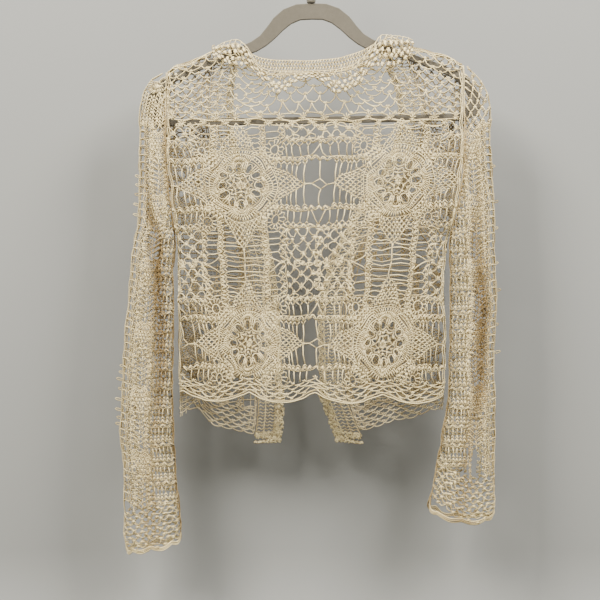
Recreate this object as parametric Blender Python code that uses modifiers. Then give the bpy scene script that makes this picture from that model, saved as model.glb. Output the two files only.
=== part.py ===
"""Open-work crochet cardigan of cream cotton, hanging on a slim flocked hanger.

Frame: +Z up, the cardigan's back faces -Y, and the wearer's left is at -X.
The origin is the point inside the hook's bow where a rail carries it.
Sizes below are in millimetres; "drop" is the distance below the origin.
"""

import math

import bpy
import numpy as np
from mathutils import Vector
from mathutils.geometry import delaunay_2d_cdt

MM = 0.001

# ---------------------------------------------------------------- cloth sizes

WALL = 2.0                  # lace worked in cotton a little under 2 mm thick
DENSE_WALL = 3.0            # collar band and shell edging, worked double
SEAM = 0.3                  # gap kept where two pieces are joined
EDGE_DEPTH = 0.6            # half gap at a sleeve's folds, front half to back half
EDGE_FADE = 25.0            # drop over which a sleeve's head comes down to that gap
SIDE_DEPTH = 1.3            # half gap between the middles of the walls at a side seam
UNDERARM = 392.0            # drop of the point where sleeve and side seam meet
SHOULDER_PINCH = 5.0        # how fast the cloth falls away beside the shoulder line
LIGAMENT = 2.0              # least cloth left between two gaps
EDGE_LIGAMENT = 3.2         # least cloth left between a gap and the edge
GAP_LIMIT = {"back": 136, "front": 30, "sleeve": 14}
BODY_STEP = 30.0            # spacing of the points between the gaps of a panel
FILL_CLEAR = 3.8            # least distance of such a point from an edge
SHOULDER_STEPS = (4.4, 11.0)    # rows of points that bend the cloth over the hanger
SLEEVE_STEP = 30.0          # spacing of the sections of a sleeve
SLEEVE_SHARES = (0.12, 0.28, 0.42, 0.56, 0.7, 0.87)     # places of its points round it
SLEEVE_SPLIT = 459.5        # drop at which a sleeve's upper and lower parts meet
HEAD_STEPS = (0.0, 4.5, 11.0, 19.0)     # closer sections over a sleeve's head
ARMHOLE_SECTIONS = 8
ARMHOLE_SEAM = 0.7          # the walls lean apart here, so the gap is wider
EDGING_SEAM = 0.8
HALF_GIRTH = 110.0          # half the way round a sleeve, along the cloth

# A row for each section of the body, with the depth of its middle.
BODY = {
    "drop": (120, 170, 200, 275, 327, 361, 392, 420, 455, 494, 517, 562, 620, 680),
    "left": (-190, -190, -190, -190, -186, -182, -177.6, -176, -175.6, -175,
             -174.8, -174.4, -173.5, -173),
    "right": (203, 203, 203, 202.6, 198, 191.5, 184, 180.5, 177.5, 179.6,
              181.4, 180, 177, 176),
    "back": (6, 7.5, 9, 14, 17.5, 20, 22, 23.5, 24.5, 25.5, 26, 27.5, 29, 30),
    "front": (6.5, 8, 10, 15, 20, 22.5, 25, 26.5, 28, 29.5, 30.5, 33, 36, 38),
}

# A row for each section of a sleeve. "depth" is half its front-to-back size,
# "turn" is 0.5 where it runs on from the body and 1 where it is a whole tube,
# and "channel" is the fold that runs down it, at the share "place" of the way round.
SLEEVE_LEFT = {
    "drop": (171.5, 181, 197, 216, 245, 314, 350, 374, 392, 439, 486, 517, 562, 614,
             656, 692, 744, 783, 812),
    "outer": (-196, -209.5, -219.5, -224, -226, -226.1, -226.8, -228, -233, -237.4,
              -242.2, -245, -247.4, -250, -251, -247.4, -246, -246, -243),
    "inner": (0, 0, 0, 0, 0, 0, 0, 0, -179.3, -183, -181.7, -182.2, -183.4, -183.2,
              -181.8, -179.8, -174.8, -172.4, -171),
    "depth": (3.8, 4.8, 6.5, 9, 12, 16, 18, 20, 21, 22, 22.5, 23, 23.5, 24,
              25, 26, 28, 30, 31),
    "turn": (0.5, 0.5, 0.5, 0.52, 0.55, 0.68, 0.8, 0.9, 1, 1, 1, 1, 1, 1, 1, 1, 1, 1, 1),
    "channel": (0, 0, 0, 0, 1, 3, 6, 8, 9, 11.5, 12, 11, 9, 6, 4, 3, 4, 4, 4),
    "place": (0.4, 0.4, 0.4, 0.4, 0.4, 0.42, 0.46, 0.5, 0.54, 0.6, 0.64, 0.67, 0.68,
              0.66, 0.6, 0.55, 0.5, 0.5, 0.5),
}
SLEEVE_RIGHT = {
    "drop": (162, 175, 193, 218, 257, 318, 350, 374, 392, 425, 455, 484, 509, 562,
             600, 642, 687, 729, 768),
    "outer": (208.6, 220.8, 232.8, 238.7, 239.4, 242, 244.5, 244.8, 244.8, 244.9,
              246.7, 248.3, 245.2, 243.6, 245.8, 244.8, 244.7, 244.4, 243.6),
    "inner": (0, 0, 0, 0, 0, 0, 0, 0, 185.6, 187.6, 187.4, 187.2, 187.1, 186.4,
              184.6, 178.6, 170.4, 162.4, 152.5),
    "depth": (3.8, 4.8, 6.5, 9.5, 13, 16, 18, 20, 21, 22, 22.5, 23, 23.5, 24,
              25, 26, 28, 30, 31),
    "turn": (0.5, 0.5, 0.5, 0.52, 0.56, 0.68, 0.8, 0.9, 1, 1, 1, 1, 1, 1, 1, 1, 1, 1, 1),
    "channel": (0, 0, 0, 0.5, 1, 3, 4, 5, 6, 8, 10, 12, 12, 11, 8, 5, 4, 4, 4),
    "place": (0.6, 0.6, 0.6, 0.6, 0.6, 0.6, 0.56, 0.5, 0.46, 0.42, 0.4, 0.38, 0.38,
              0.38, 0.42, 0.46, 0.5, 0.5, 0.5),
}
CHANNEL_WIDTH = 0.085       # share of the way round
FRONT_CHANNEL = 0.45        # the sleeve's front half folds less than its back half

# Soft upright folds of the body; a row for each fold.
BACK_FOLDS = {
    "x": (-146, -104, -48, 4, 58, 112, 152),
    "top": (400, 470, 440, 500, 430, 480, 400),
    "width": (13, 17, 19, 16, 20, 17, 13),
    "depth": (5, -4, 4.5, -5, 4.5, -4, 5),
}
FRONT_FOLDS = {
    "x": (-150, -112, -74, 44, 82, 118, 154),
    "top": (300, 360, 420, 430, 370, 300, 330),
    "width": (13, 14, 15, 14, 16, 15, 12),
    "depth": (6, -6, 7, 7, -6, 6, -5),
}
FOLD_RUN = 130.0            # a fold grows to its full depth over this drop

# The shoulder lines, from the armhole to the neck.
SHOULDER_LEFT = {
    "x": (-190, -177.6, -161, -143.6, -130, -118.4, -97),
    "drop": (169.4, 161.5, 156, 149.5, 143.4, 137.5, 131),
}
SHOULDER_RIGHT = {
    "x": (100, 127.7, 139.7, 157, 187, 203),
    "drop": (123.6, 130, 136.8, 141.8, 151, 159),
}
# The neck, at the top edge of the collar band.
NECK = {
    "x": (-84, -77, -64.5, -45, -5, 36, 56, 77, 85),
    "drop": (141.5, 147.5, 153.2, 156, 156.5, 153.5, 148, 139.3, 135),
}
BAND_HEIGHT = 15.5
NECK_STATIONS = 20          # the band and the back meet point to point

# Hems: the drop where two scallops meet, how far each hangs below it, and how far
# the whole of a cuff's edge sags between its folds.
BACK_HEM = {"drop": 597.5, "scallop": 12.0, "pitch": 88.0, "start": 6.6, "slope": 0.012}
CUFF_HEM = {
    "left": {"outer": 807.0, "inner": 788.0, "sag": 4.0, "scallop": 4.5, "count": 4},
    "right": {"outer": 757.0, "inner": 743.0, "sag": 15.0, "scallop": 3.5, "count": 4},
}

# The opening edge of each front, and its hem from the side seam to that edge.
OPENING_LEFT = {
    "drop": (132, 160, 195, 232, 300, 370, 426, 500, 590, 640, 668),
    "x": (-97, -95, -100, -101, -86, -62, -46, -38, -36, -38, -42),
}
OPENING_RIGHT = {
    "drop": (125, 160, 195, 232, 300, 370, 426, 500, 590, 640, 668),
    "x": (100, 100, 112, 117, 96, 52, 23, 9, 12, 28, 38),
}
FRONT_HEM_LEFT = {
    "x": (-172.6, -154, -136, -116, -94, -76),
    "drop": (630, 619, 642, 650, 654, 660),
}
FRONT_HEM_RIGHT = {
    "x": (174, 150, 125, 107, 91, 74),
    "drop": (621, 630, 639, 642, 647, 654),
}
EDGING_WIDTH = 34.0
EDGING_PITCH = 15.0         # one crochet shell
EDGING_SCALLOP = 2.4
EDGING_CURL = 9.0           # how far the opening edge rolls outwards

# The shell ruffle sewn below the collar band: its upper and lower edge.
RUFFLE = {
    "x": (-129, -113, -97, -84, -74, -64, -53, -42, -32, -20, -9, 3, 13, 24, 37, 53,
          66, 74, 82, 97, 114, 130, 137),
    "upper": (139, 131.5, 127.5, 138, 156, 166, 170, 171, 171.4, 171.6, 171.7, 171.6,
              171, 170, 168.4, 164.5, 156, 147.5, 139, 120.5, 122.5, 125.5, 129),
    "lower": (151, 160, 163.4, 162, 172, 181.4, 194.7, 201.4, 197.4, 187.5, 181.5, 180.5,
              182, 192, 201.4, 196, 187, 176, 164.5, 162.8, 162.8, 153, 149),
}
RUFFLE_WAVE = 20.0
RUFFLE_LIFT = 4.4
RUFFLE_FLARE = 5.5
RUFFLE_CLEAR = 10.0         # drop below the shoulder line where it lies free of it
RUFFLE_RIDGE = 2.8          # its depth where it goes over the shoulder

# ---------------------------------------------------------------- lace charts

# Centres of the round doily motifs.
BACK_MEDALLIONS = {"x": (-92, 115.7, -80, 95.8), "drop": (323, 317, 531, 531)}
FRONT_MEDALLIONS = {
    "left": {"x": (-150, -124), "drop": (318, 530)},
    "right": {"x": (158, 110), "drop": (314, 530)},
}
MEDALLION_RING = {"radius": 24.0, "count": 10, "width": 8.4, "height": 7.6}
CORNER_GAP = {"reach": 45.0, "size": 10.6}

# Straight rows of gaps: a row for each, with its middle, pitch and number of gaps.
YOKE_ROWS = {
    "drop": (193, 213), "x": (5, 5), "count": (14, 15), "pitch": (23.5, 23.5),
    "width": (16, 17), "height": (9, 8.5),
}
NET_ROWS = {
    "drop": (418, 439), "x": (-1, 4), "count": (12, 12), "pitch": (27, 27),
    "width": (18, 17), "height": (13, 10),
}
BAR_ROWS = {
    "drop": (277, 303, 334, 361, 486, 514, 540, 564), "x": (8, 9, 8, 7, 5, 4, 4, 4),
    "count": (4, 3, 3, 4, 3, 3, 3, 3),
    "pitch": (10.5, 13.5, 13.5, 10.5, 11, 11, 11, 11),
    "width": (7, 10, 10, 7, 7.4, 7.4, 7.4, 7.4),
    "height": (17, 19, 19, 16, 19, 19, 15, 13),
}
SLEEVE_ROWS = {
    "first": 212.0, "pitch": 45.0, "count": 13, "columns": (0.3, 0.76),
    "width": 7.0, "height": 16.0,
}

# --------------------------------------------------------------- hanger sizes

HANGER_TILT = math.radians(1.1)     # it hangs with its right end a little high
HANGER_THICK = 5.5
HANGER_EDGE = 0.7
HANGER_OUTER = {
    "x": (0, 20, 37, 50.5, 60, 69, 80.5, 94, 118, 143, 170, 191, 206, 217, 222.5, 221.5,
          214, 200, 0),
    "drop": (79.7, 80.7, 87, 98.3, 111, 121.5, 129, 135, 144.5, 153.5, 163.5, 172.5, 184,
             196, 210, 223, 234, 239.5, 239.5),
}
HANGER_INNER = {
    "x": (0, 15, 27, 38, 49, 60, 74, 94, 118, 143, 170, 188, 199, 206, 206, 200, 188, 0),
    "drop": (101, 101.6, 106.5, 115, 125.5, 134.5, 142.5, 148, 154.5, 163.5, 174.5,
             183, 193, 206, 219, 227, 230.3, 230.3),
}
BOSS_RADIUS = 6.0
BOSS_TOP = 66.4
BOSS_BOTTOM = 79.3
HOOK_WIRE = 1.8             # radius of the wire
HOOK_BOW = 18.0             # radius inside the bow
HOOK_STEM = {"x": (0, 0, 1.5, 7), "drop": (66.1, 50, 45, 38)}
HOOK_ARC = (-48, 196)       # degrees, from the stem over the top to the open end
HOOK_STEPS = 18

# ---------------------------------------------------------------- collections


def clear_scene():
    """Remove what the file holds."""
    for item in list(bpy.data.objects):
        bpy.data.objects.remove(item, do_unlink=True)


def new_collection(name):
    """Return a fresh collection linked to the scene."""
    group = bpy.data.collections.new(name)
    bpy.context.scene.collection.children.link(group)
    return group


def finish_material(name, colour, roughness, metallic=0.0):
    """Return a Principled material."""
    material = bpy.data.materials.new(name)
    material.use_nodes = True
    shader = material.node_tree.nodes["Principled BSDF"]
    shader.inputs["Base Color"].default_value = (*colour, 1.0)
    shader.inputs["Roughness"].default_value = roughness
    shader.inputs["Metallic"].default_value = metallic
    return material


# -------------------------------------------------------------- table reading


def smooth_at(table, column, key, where):
    """Read a column between its rows on a smooth curve with no overshoot."""
    knots = np.asarray(table[key], dtype=float)
    values = np.asarray(table[column], dtype=float)
    spans = np.diff(knots)
    rises = np.diff(values) / spans
    slopes = np.zeros_like(values)
    same_way = rises[:-1] * rises[1:] > 0
    mean = 2 * rises[:-1] * rises[1:] / np.where(same_way, rises[:-1] + rises[1:], 1)
    slopes[1:-1] = np.where(same_way, mean, 0)
    where = np.clip(np.asarray(where, dtype=float), knots[0], knots[-1])
    row = np.clip(np.searchsorted(knots, where, side="right") - 1, 0, len(knots) - 2)
    t = (where - knots[row]) / spans[row]
    return ((1 + 2 * t) * (1 - t) ** 2 * values[row]
            + t * (1 - t) ** 2 * slopes[row] * spans[row]
            + t * t * (3 - 2 * t) * values[row + 1]
            - t * t * (1 - t) * slopes[row + 1] * spans[row])


def at_drop(table, column, drop):
    """Read a column at a drop."""
    return smooth_at(table, column, "drop", drop)


def along_x(table, column, x):
    """Read a column at a place across the body."""
    return smooth_at(table, column, "x", x)


def smooth_step(value):
    """Rise from 0 to 1 as the value does, with level ends."""
    value = np.clip(value, 0, 1)
    return value * value * (3 - 2 * value)


# -------------------------------------------------------------- cloth surfaces


def fold_depth(sleeve, drop):
    """Half the gap between a sleeve's halves, wider over its flat head."""
    below = np.maximum(drop - sleeve["drop"][0], 0)
    return EDGE_DEPTH + (SIDE_DEPTH - EDGE_DEPTH) * np.exp(-below / EDGE_FADE)


def sleeve_edge_depth(sleeve, drop):
    """Depth of a sleeve's inner edge, which the body shares above the underarm."""
    turn = at_drop(sleeve, "turn", drop)
    return fold_depth(sleeve, drop) + at_drop(sleeve, "depth", drop) * np.sin(np.pi * turn)


def body_edge_depth(sleeve, drop):
    """Depth of the body's side edge: the armhole's above, the side seam's below."""
    return np.maximum(sleeve_edge_depth(sleeve, drop), SIDE_DEPTH)


def on_shoulder(x):
    """Rise from 0 at the neck to 1 where the hanger's arm is under the cloth."""
    return smooth_step((np.abs(x - 2) - 84) / 12)


def top_line(x):
    """Drop of the shoulder line, or of the neck between the shoulders."""
    left = along_x(SHOULDER_LEFT, "drop", x)
    right = along_x(SHOULDER_RIGHT, "drop", x)
    return np.where(x < 0, left, right)


def folds(table, x, drop):
    """Depth added by the upright folds, each a soft ridge or trough."""
    x, drop = np.broadcast_arrays(np.asarray(x, float), np.asarray(drop, float))
    total = np.zeros_like(x)
    for place, top, width, depth in zip(*(table[key] for key in table)):
        growth = smooth_step((drop - top) / FOLD_RUN)
        total = total + depth * growth * np.exp(-((x - place) / width) ** 2)
    return total


def body_point(x, drop, side):
    """Place a point of the body; side is -1 for the back and 1 for the fronts."""
    x, drop = np.asarray(x, float), np.asarray(drop, float)
    left, right = at_drop(BODY, "left", drop), at_drop(BODY, "right", drop)
    across = np.clip(2 * (x - left) / (right - left) - 1, -1, 1)
    edge = (body_edge_depth(SLEEVE_LEFT, drop) * (1 - across)
            + body_edge_depth(SLEEVE_RIGHT, drop) * (1 + across)) / 2
    middle = at_drop(BODY, "back" if side < 0 else "front", drop)
    swell = 1 - across ** 4
    depth = edge + (middle - edge) * swell
    depth = depth + swell * folds(BACK_FOLDS if side < 0 else FRONT_FOLDS, x, drop)
    pinch = on_shoulder(x) * np.exp(-np.maximum(drop - top_line(x), 0) / SHOULDER_PINCH)
    depth = SIDE_DEPTH + (depth - SIDE_DEPTH) * (1 - pinch)
    return np.stack([x, side * depth, -drop], axis=-1)


def shoulder_end(sleeve):
    """Drop of the shoulder line where it meets a sleeve."""
    return SHOULDER_LEFT["drop"][0] if sleeve is SLEEVE_LEFT else SHOULDER_RIGHT["drop"][-1]


def sleeve_inner(sleeve, drop):
    """X of a sleeve's inner edge: beside the armhole above, its own fold below."""
    edge, outwards = ("left", -1) if sleeve is SLEEVE_LEFT else ("right", 1)
    rounding = 1.2 * (2 * at_drop(sleeve, "turn", drop) - 1)
    beside_body = at_drop(BODY, edge, drop) + outwards * (ARMHOLE_SEAM + rounding)
    low = {"drop": sleeve["drop"][8:], "inner": sleeve["inner"][8:]}
    return np.where(drop < UNDERARM, beside_body, at_drop(low, "inner", drop))


def sleeve_point(sleeve, around, drop, side):
    """Place a point of a sleeve; around is 0 at its outer fold and 1 at its inner."""
    around, drop = np.asarray(around, float), np.asarray(drop, float)
    outer, inner = at_drop(sleeve, "outer", drop), sleeve_inner(sleeve, drop)
    turn = at_drop(sleeve, "turn", drop)
    angle = np.pi * turn * around
    x = outer + (inner - outer) * (1 - np.cos(angle)) / (1 - np.cos(np.pi * turn))
    pinch = np.exp(-(drop - shoulder_end(sleeve)) / SHOULDER_PINCH)
    swell = at_drop(sleeve, "depth", drop) * np.sin(angle) * (1 - pinch)
    depth = fold_depth(sleeve, drop) + swell
    share = 1 if side < 0 else FRONT_CHANNEL
    place = at_drop(sleeve, "place", drop)
    channel = at_drop(sleeve, "channel", drop) * share
    depth = depth - channel * np.exp(-((around - place) / CHANNEL_WIDTH) ** 2)
    return np.stack([x, side * depth, -drop], axis=-1)


# ----------------------------------------------------------------- lace gaps


def gap(x, drop, width, height, sides=6, turn=0.0):
    """Return the corners of one gap, an oval of the given number of sides."""
    start = math.pi / sides if sides == 4 else 0.0
    reach = math.sqrt(2) if sides == 4 else 1.0
    angles = start + 2 * math.pi * np.arange(sides) / sides
    across = reach * width / 2 * np.cos(angles)
    down = reach * height / 2 * np.sin(angles)
    return np.stack([x + across * math.cos(turn) - down * math.sin(turn),
                     drop + across * math.sin(turn) + down * math.cos(turn)], axis=-1)


def medallion_gaps(table):
    """Gaps of the round motifs: a ring of holes and one in each corner."""
    found = []
    for x, drop in zip(table["x"], table["drop"]):
        for quarter in range(4):
            angle = math.pi / 4 + quarter * math.pi / 2
            reach = CORNER_GAP["reach"] * math.sqrt(2)
            found.append(gap(x + reach * math.cos(angle), drop + reach * math.sin(angle),
                             CORNER_GAP["size"], CORNER_GAP["size"]))
        ring = MEDALLION_RING
        for number in range(ring["count"]):
            angle = 2 * math.pi * (number + 0.5) / ring["count"]
            found.append(gap(x + ring["radius"] * math.cos(angle),
                             drop + ring["radius"] * math.sin(angle),
                             ring["width"], ring["height"], turn=angle + math.pi / 2))
    return found


def row_gaps(table, sides):
    """Gaps in straight rows, each row centred on its own middle."""
    found = []
    for row in zip(*(table[key] for key in table)):
        drop, middle, count, pitch, width, height = row
        for number in range(count):
            x = middle + (number - (count - 1) / 2) * pitch
            found.append(gap(x, drop, width, height, sides))
    return found


def sleeve_gaps():
    """Slots between the upright bars of a sleeve, in rows down its length."""
    rows, found = SLEEVE_ROWS, []
    for number in range(rows["count"]):
        shift = 0.06 * (number % 2)
        for column in rows["columns"]:
            found.append(gap((column - shift) * HALF_GIRTH,
                             rows["first"] + number * rows["pitch"],
                             rows["width"], rows["height"], sides=4))
    return found


def nearest(points, outline):
    """Least distance from any of the points to a closed outline."""
    start, end = outline, np.roll(outline, -1, axis=0)
    run = end - start
    offset = points[:, None, :] - start[None]
    share = (offset * run).sum(-1) / np.maximum((run * run).sum(-1), 1e-9)
    away = offset - np.clip(share, 0, 1)[..., None] * run
    return float(np.sqrt((away * away).sum(-1)).min())


def is_inside(point, outline):
    """Tell whether a point lies inside a closed outline."""
    x, y = outline[:, 0], outline[:, 1]
    x2, y2 = np.roll(x, -1), np.roll(y, -1)
    crosses = (y > point[1]) != (y2 > point[1])
    run = np.where(crosses, y2 - y, 1)
    hits = crosses & (point[0] < (x2 - x) * (point[1] - y) / run + x)
    return bool(hits.sum() % 2)


def in_a_gap(point, gaps):
    """Tell whether a point lies in any of the gaps."""
    return any(np.abs(corners.mean(axis=0) - point).max() < BODY_STEP
               and is_inside(point, corners) for corners in gaps)


def keep_gaps(candidates, outline, limit):
    """Keep the gaps that leave enough cloth round them, up to the limit."""
    kept = []
    for corners in candidates:
        if len(kept) == limit:
            break
        if not all(is_inside(corner, outline) for corner in corners):
            continue
        if nearest(corners, outline) < EDGE_LIGAMENT:
            continue
        reach = np.abs(corners - corners.mean(axis=0)).max()
        close = [other for other in kept
                 if np.abs(other.mean(axis=0) - corners.mean(axis=0)).max() < 3 * reach]
        if all(min(nearest(corners, other), nearest(other, corners)) >= LIGAMENT
               for other in close):
            kept.append(corners)
    return kept


# ------------------------------------------------------------- mesh builders


def mesh_object(name, points, faces, material, group):
    """Make an object of a mesh given in millimetres."""
    mesh = bpy.data.meshes.new(name)
    mesh.from_pydata([Vector(point) * MM for point in points], [], faces)
    mesh.materials.append(material)
    mesh.shade_smooth()
    item = bpy.data.objects.new(name, mesh)
    group.objects.link(item)
    return item


def add_wall(item, thickness):
    """Give an open surface its wall, half on each side."""
    wall = item.modifiers.new("wall", "SOLIDIFY")
    wall.thickness = thickness * MM
    wall.offset = 0.0


def lace_sheet(name, outline, gaps, fillers, place, material, group):
    """Build a panel from its flat outline, its gaps and a placing function.

    The outline, the gaps' edges and the fillers between them are joined into
    triangles on the flat, the place function bends them, and a wall is added.
    """
    loops = [outline, *gaps]
    flat = np.concatenate(loops)
    edges, first = [], 0
    for loop in loops:
        count = len(loop)
        edges += [(first + i, first + (i + 1) % count) for i in range(count)]
        first += count
    spare = [point for point in fillers
             if is_inside(point, outline)
             and nearest(point[None], outline) > FILL_CLEAR
             and all(np.abs(corners.mean(axis=0) - point).max() > BODY_STEP
                     or (nearest(point[None], corners) > FILL_CLEAR
                         and not is_inside(point, corners)) for corners in gaps)]
    every = np.concatenate([flat, np.array(spare).reshape(-1, 2)])
    result = delaunay_2d_cdt([Vector(point) for point in every], edges, [], 1, 1e-5)
    corners = np.array([tuple(point) for point in result[0]])
    faces = [tuple(face) for face in result[2]
             if not in_a_gap(corners[list(face)].mean(axis=0), gaps)]
    item = mesh_object(name, place(corners[:, 0], corners[:, 1]), faces, material, group)
    add_wall(item, WALL)
    return item


def strip_sheet(name, rails, material, group, thickness):
    """Build a strip from a grid of points, rails[row][station]."""
    rails = np.asarray(rails)
    rows, stations = rails.shape[:2]
    faces = []
    for row in range(rows - 1):
        for station in range(stations - 1):
            corner = row * stations + station
            faces.append((corner, corner + 1, corner + stations + 1, corner + stations))
    item = mesh_object(name, rails.reshape(-1, 3), faces, material, group)
    add_wall(item, thickness)
    return item


def grid_points(left, right, top, bottom, step):
    """Points of a staggered grid that fill a rectangle."""
    points = []
    for row, drop in enumerate(np.arange(top, bottom, step)):
        shift = step / 2 * (row % 2)
        points += [(x, drop) for x in np.arange(left + shift, right, step)]
    return np.array(points)


def shoulder_points():
    """Points just below the shoulder lines."""
    points = []
    for table in (SHOULDER_LEFT, SHOULDER_RIGHT):
        for x in np.linspace(table["x"][0] + 4, table["x"][-1] - 2, 9):
            points += [(x, float(top_line(x)) + step) for step in SHOULDER_STEPS]
    return np.array(points)


def armhole_drops(sleeve):
    """Drops of the points that body and sleeve share, down to the underarm."""
    head = [sleeve["drop"][0] + step for step in HEAD_STEPS]
    return head + list(np.linspace(head[-1], UNDERARM, ARMHOLE_SECTIONS)[1:])


def spread(start, end, step):
    """Evenly spaced values from start up to, but without, the end."""
    count = max(int(round(abs(end - start) / step)), 1)
    return np.linspace(start, end, count, endpoint=False)


# --------------------------------------------------------------------- panels


def back_hem(x):
    """Drop of the back's scalloped hem."""
    hem = BACK_HEM
    wave = np.abs(np.sin(np.pi * (x - hem["start"]) / hem["pitch"]))
    return hem["drop"] + hem["scallop"] * wave + hem["slope"] * x


def neckline(x):
    """Drop of the back's neck edge, where the collar band is sewn on."""
    return along_x(NECK, "drop", x) + BAND_HEIGHT + 2 * SEAM


def side_drops(sleeve, low):
    """Drops of the points down one side of the body: armhole, then side seam."""
    return armhole_drops(sleeve) + list(spread(UNDERARM, low, BODY_STEP)[1:])


def step_towards(start, end, drop):
    """Point on the line from start to end, a given drop below the start."""
    share = drop / (end[1] - start[1])
    return start[0] + (end[0] - start[0]) * share, start[1] + drop


def back_outline():
    """Flat outline of the back, from the left armhole round by the neck."""
    shoulder_left, shoulder_right = SHOULDER_LEFT["x"], SHOULDER_RIGHT["x"]
    neck_x = np.linspace(NECK["x"][0], NECK["x"][-1], NECK_STATIONS)
    left_corner = (shoulder_left[-1], SHOULDER_LEFT["drop"][-1])
    right_corner = (shoulder_right[0], SHOULDER_RIGHT["drop"][0])
    neck = [(x, float(neckline(x))) for x in neck_x]
    points = list(zip(shoulder_left, SHOULDER_LEFT["drop"]))
    points += [step_towards(left_corner, neck[0], step) for step in SHOULDER_STEPS]
    points += neck
    points += [step_towards(right_corner, neck[-1], step) for step in SHOULDER_STEPS[::-1]]
    points += list(zip(shoulder_right, SHOULDER_RIGHT["drop"]))
    low_right = float(back_hem(BODY["right"][-2]))
    for drop in side_drops(SLEEVE_RIGHT, low_right):
        points.append((float(at_drop(BODY, "right", drop)), drop))
    for x in spread(float(at_drop(BODY, "right", low_right)), BODY["left"][-2], 11):
        points.append((x, float(back_hem(x))))
    low_left = float(back_hem(BODY["left"][-2]))
    points.append((float(at_drop(BODY, "left", low_left)), low_left))
    for drop in side_drops(SLEEVE_LEFT, low_left)[::-1]:
        points.append((float(at_drop(BODY, "left", drop)), drop))
    return np.array(points)


def build_back(material, group):
    """The back, worked as four round motifs joined by net and bars."""
    outline = back_outline()
    candidates = medallion_gaps(BACK_MEDALLIONS) + row_gaps(BAR_ROWS, 4)
    candidates += row_gaps(YOKE_ROWS, 6) + row_gaps(NET_ROWS, 6)
    gaps = keep_gaps(candidates, outline, GAP_LIMIT["back"])
    fillers = np.concatenate([shoulder_points(),
                              grid_points(-185, 200, 162, 610, BODY_STEP)])

    def place(x, drop):
        return body_point(x, drop, -1)

    return lace_sheet("back_panel", outline, gaps, fillers, place, material, group)


def opening_drops(opening):
    """Drops of the corners of the line where a front and its edging are sewn."""
    first, last = opening["drop"][0] + 3, opening["drop"][-1]
    return np.linspace(first, last, int((last - first) / BODY_STEP) + 1)


def front_outline(side):
    """Flat outline of one front, between its side and its shell edging."""
    left = side == "left"
    shoulder = SHOULDER_LEFT if left else SHOULDER_RIGHT
    opening = OPENING_LEFT if left else OPENING_RIGHT
    hem = FRONT_HEM_LEFT if left else FRONT_HEM_RIGHT
    inwards = 1 if left else -1
    sewn = inwards * (EDGING_WIDTH + EDGING_SEAM)
    neck_x = shoulder["x"][-1] if left else shoulder["x"][0]
    points = []
    reach = neck_x - sewn
    line = [(x, drop) for x, drop in zip(shoulder["x"], shoulder["drop"])
            if (x - reach) * inwards < 0]
    start = (reach, float(along_x(shoulder, "drop", reach)))
    points += line + [start] if left else [*line[::-1], start]
    for drop in opening_drops(opening):
        if start[1] + FILL_CLEAR < drop < hem["drop"][-1]:
            points.append((float(at_drop(opening, "x", drop)) - sewn, drop))
    for x, drop in list(zip(hem["x"], hem["drop"]))[::-1]:
        points.append((x, drop))
    sleeve = SLEEVE_LEFT if left else SLEEVE_RIGHT
    for drop in side_drops(sleeve, hem["drop"][0])[::-1]:
        points.append((float(at_drop(BODY, side, drop)), drop))
    return np.array(points)


def build_front(side, material, group):
    """One front: two round motifs, one above the other."""
    outline = front_outline(side)
    gaps = keep_gaps(medallion_gaps(FRONT_MEDALLIONS[side]), outline, GAP_LIMIT["front"])
    low, high = outline[:, 0].min(), outline[:, 0].max()
    fillers = np.concatenate([shoulder_points(),
                              grid_points(low + 6, high, 172, 650, BODY_STEP)])

    def place(x, drop):
        return body_point(x, drop, 1)

    return lace_sheet(f"front_{side}", outline, gaps, fillers, place, material, group)


def cuff_hem(side, around):
    """Drop of a cuff's scalloped hem at a share of the way round."""
    hem = CUFF_HEM[side]
    level = hem["outer"] + (hem["inner"] - hem["outer"]) * around
    level = level + hem["sag"] * np.sin(np.pi * around)
    return level + hem["scallop"] * np.abs(np.sin(np.pi * hem["count"] * around))


def upper_sleeve_outline(sleeve):
    """Flat outline of a sleeve's upper part, from its head round by the armhole."""
    top, cut, head = sleeve["drop"][0], SLEEVE_SPLIT - SEAM, armhole_drops(sleeve)
    points = [(0.0, top), (HALF_GIRTH / 2, top)]
    points += [(HALF_GIRTH, drop) for drop in head]
    points += [(HALF_GIRTH, drop) for drop in spread(UNDERARM, cut, SLEEVE_STEP)[1:]]
    points += [(share * HALF_GIRTH, cut) for share in (1, *SLEEVE_SHARES[::-1], 0)]
    points += [(0.0, drop) for drop in spread(cut, UNDERARM, SLEEVE_STEP)[1:]]
    points += [(0.0, drop) for drop in head[:0:-1]]
    return np.array(points)


def lower_sleeve_outline(side):
    """Flat outline of a sleeve's lower part, down to its cuff."""
    cut = SLEEVE_SPLIT + SEAM
    hem = [(share * HALF_GIRTH, float(cuff_hem(side, share))) for share in np.linspace(0, 1, 13)]
    points = [(share * HALF_GIRTH, cut) for share in (0, *SLEEVE_SHARES, 1)]
    points += [(HALF_GIRTH, drop) for drop in spread(cut, hem[-1][1], SLEEVE_STEP)[1:]]
    points += hem[::-1]
    points += [(0.0, drop) for drop in spread(hem[0][1], cut, SLEEVE_STEP)[1:]]
    return np.array(points)


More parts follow.
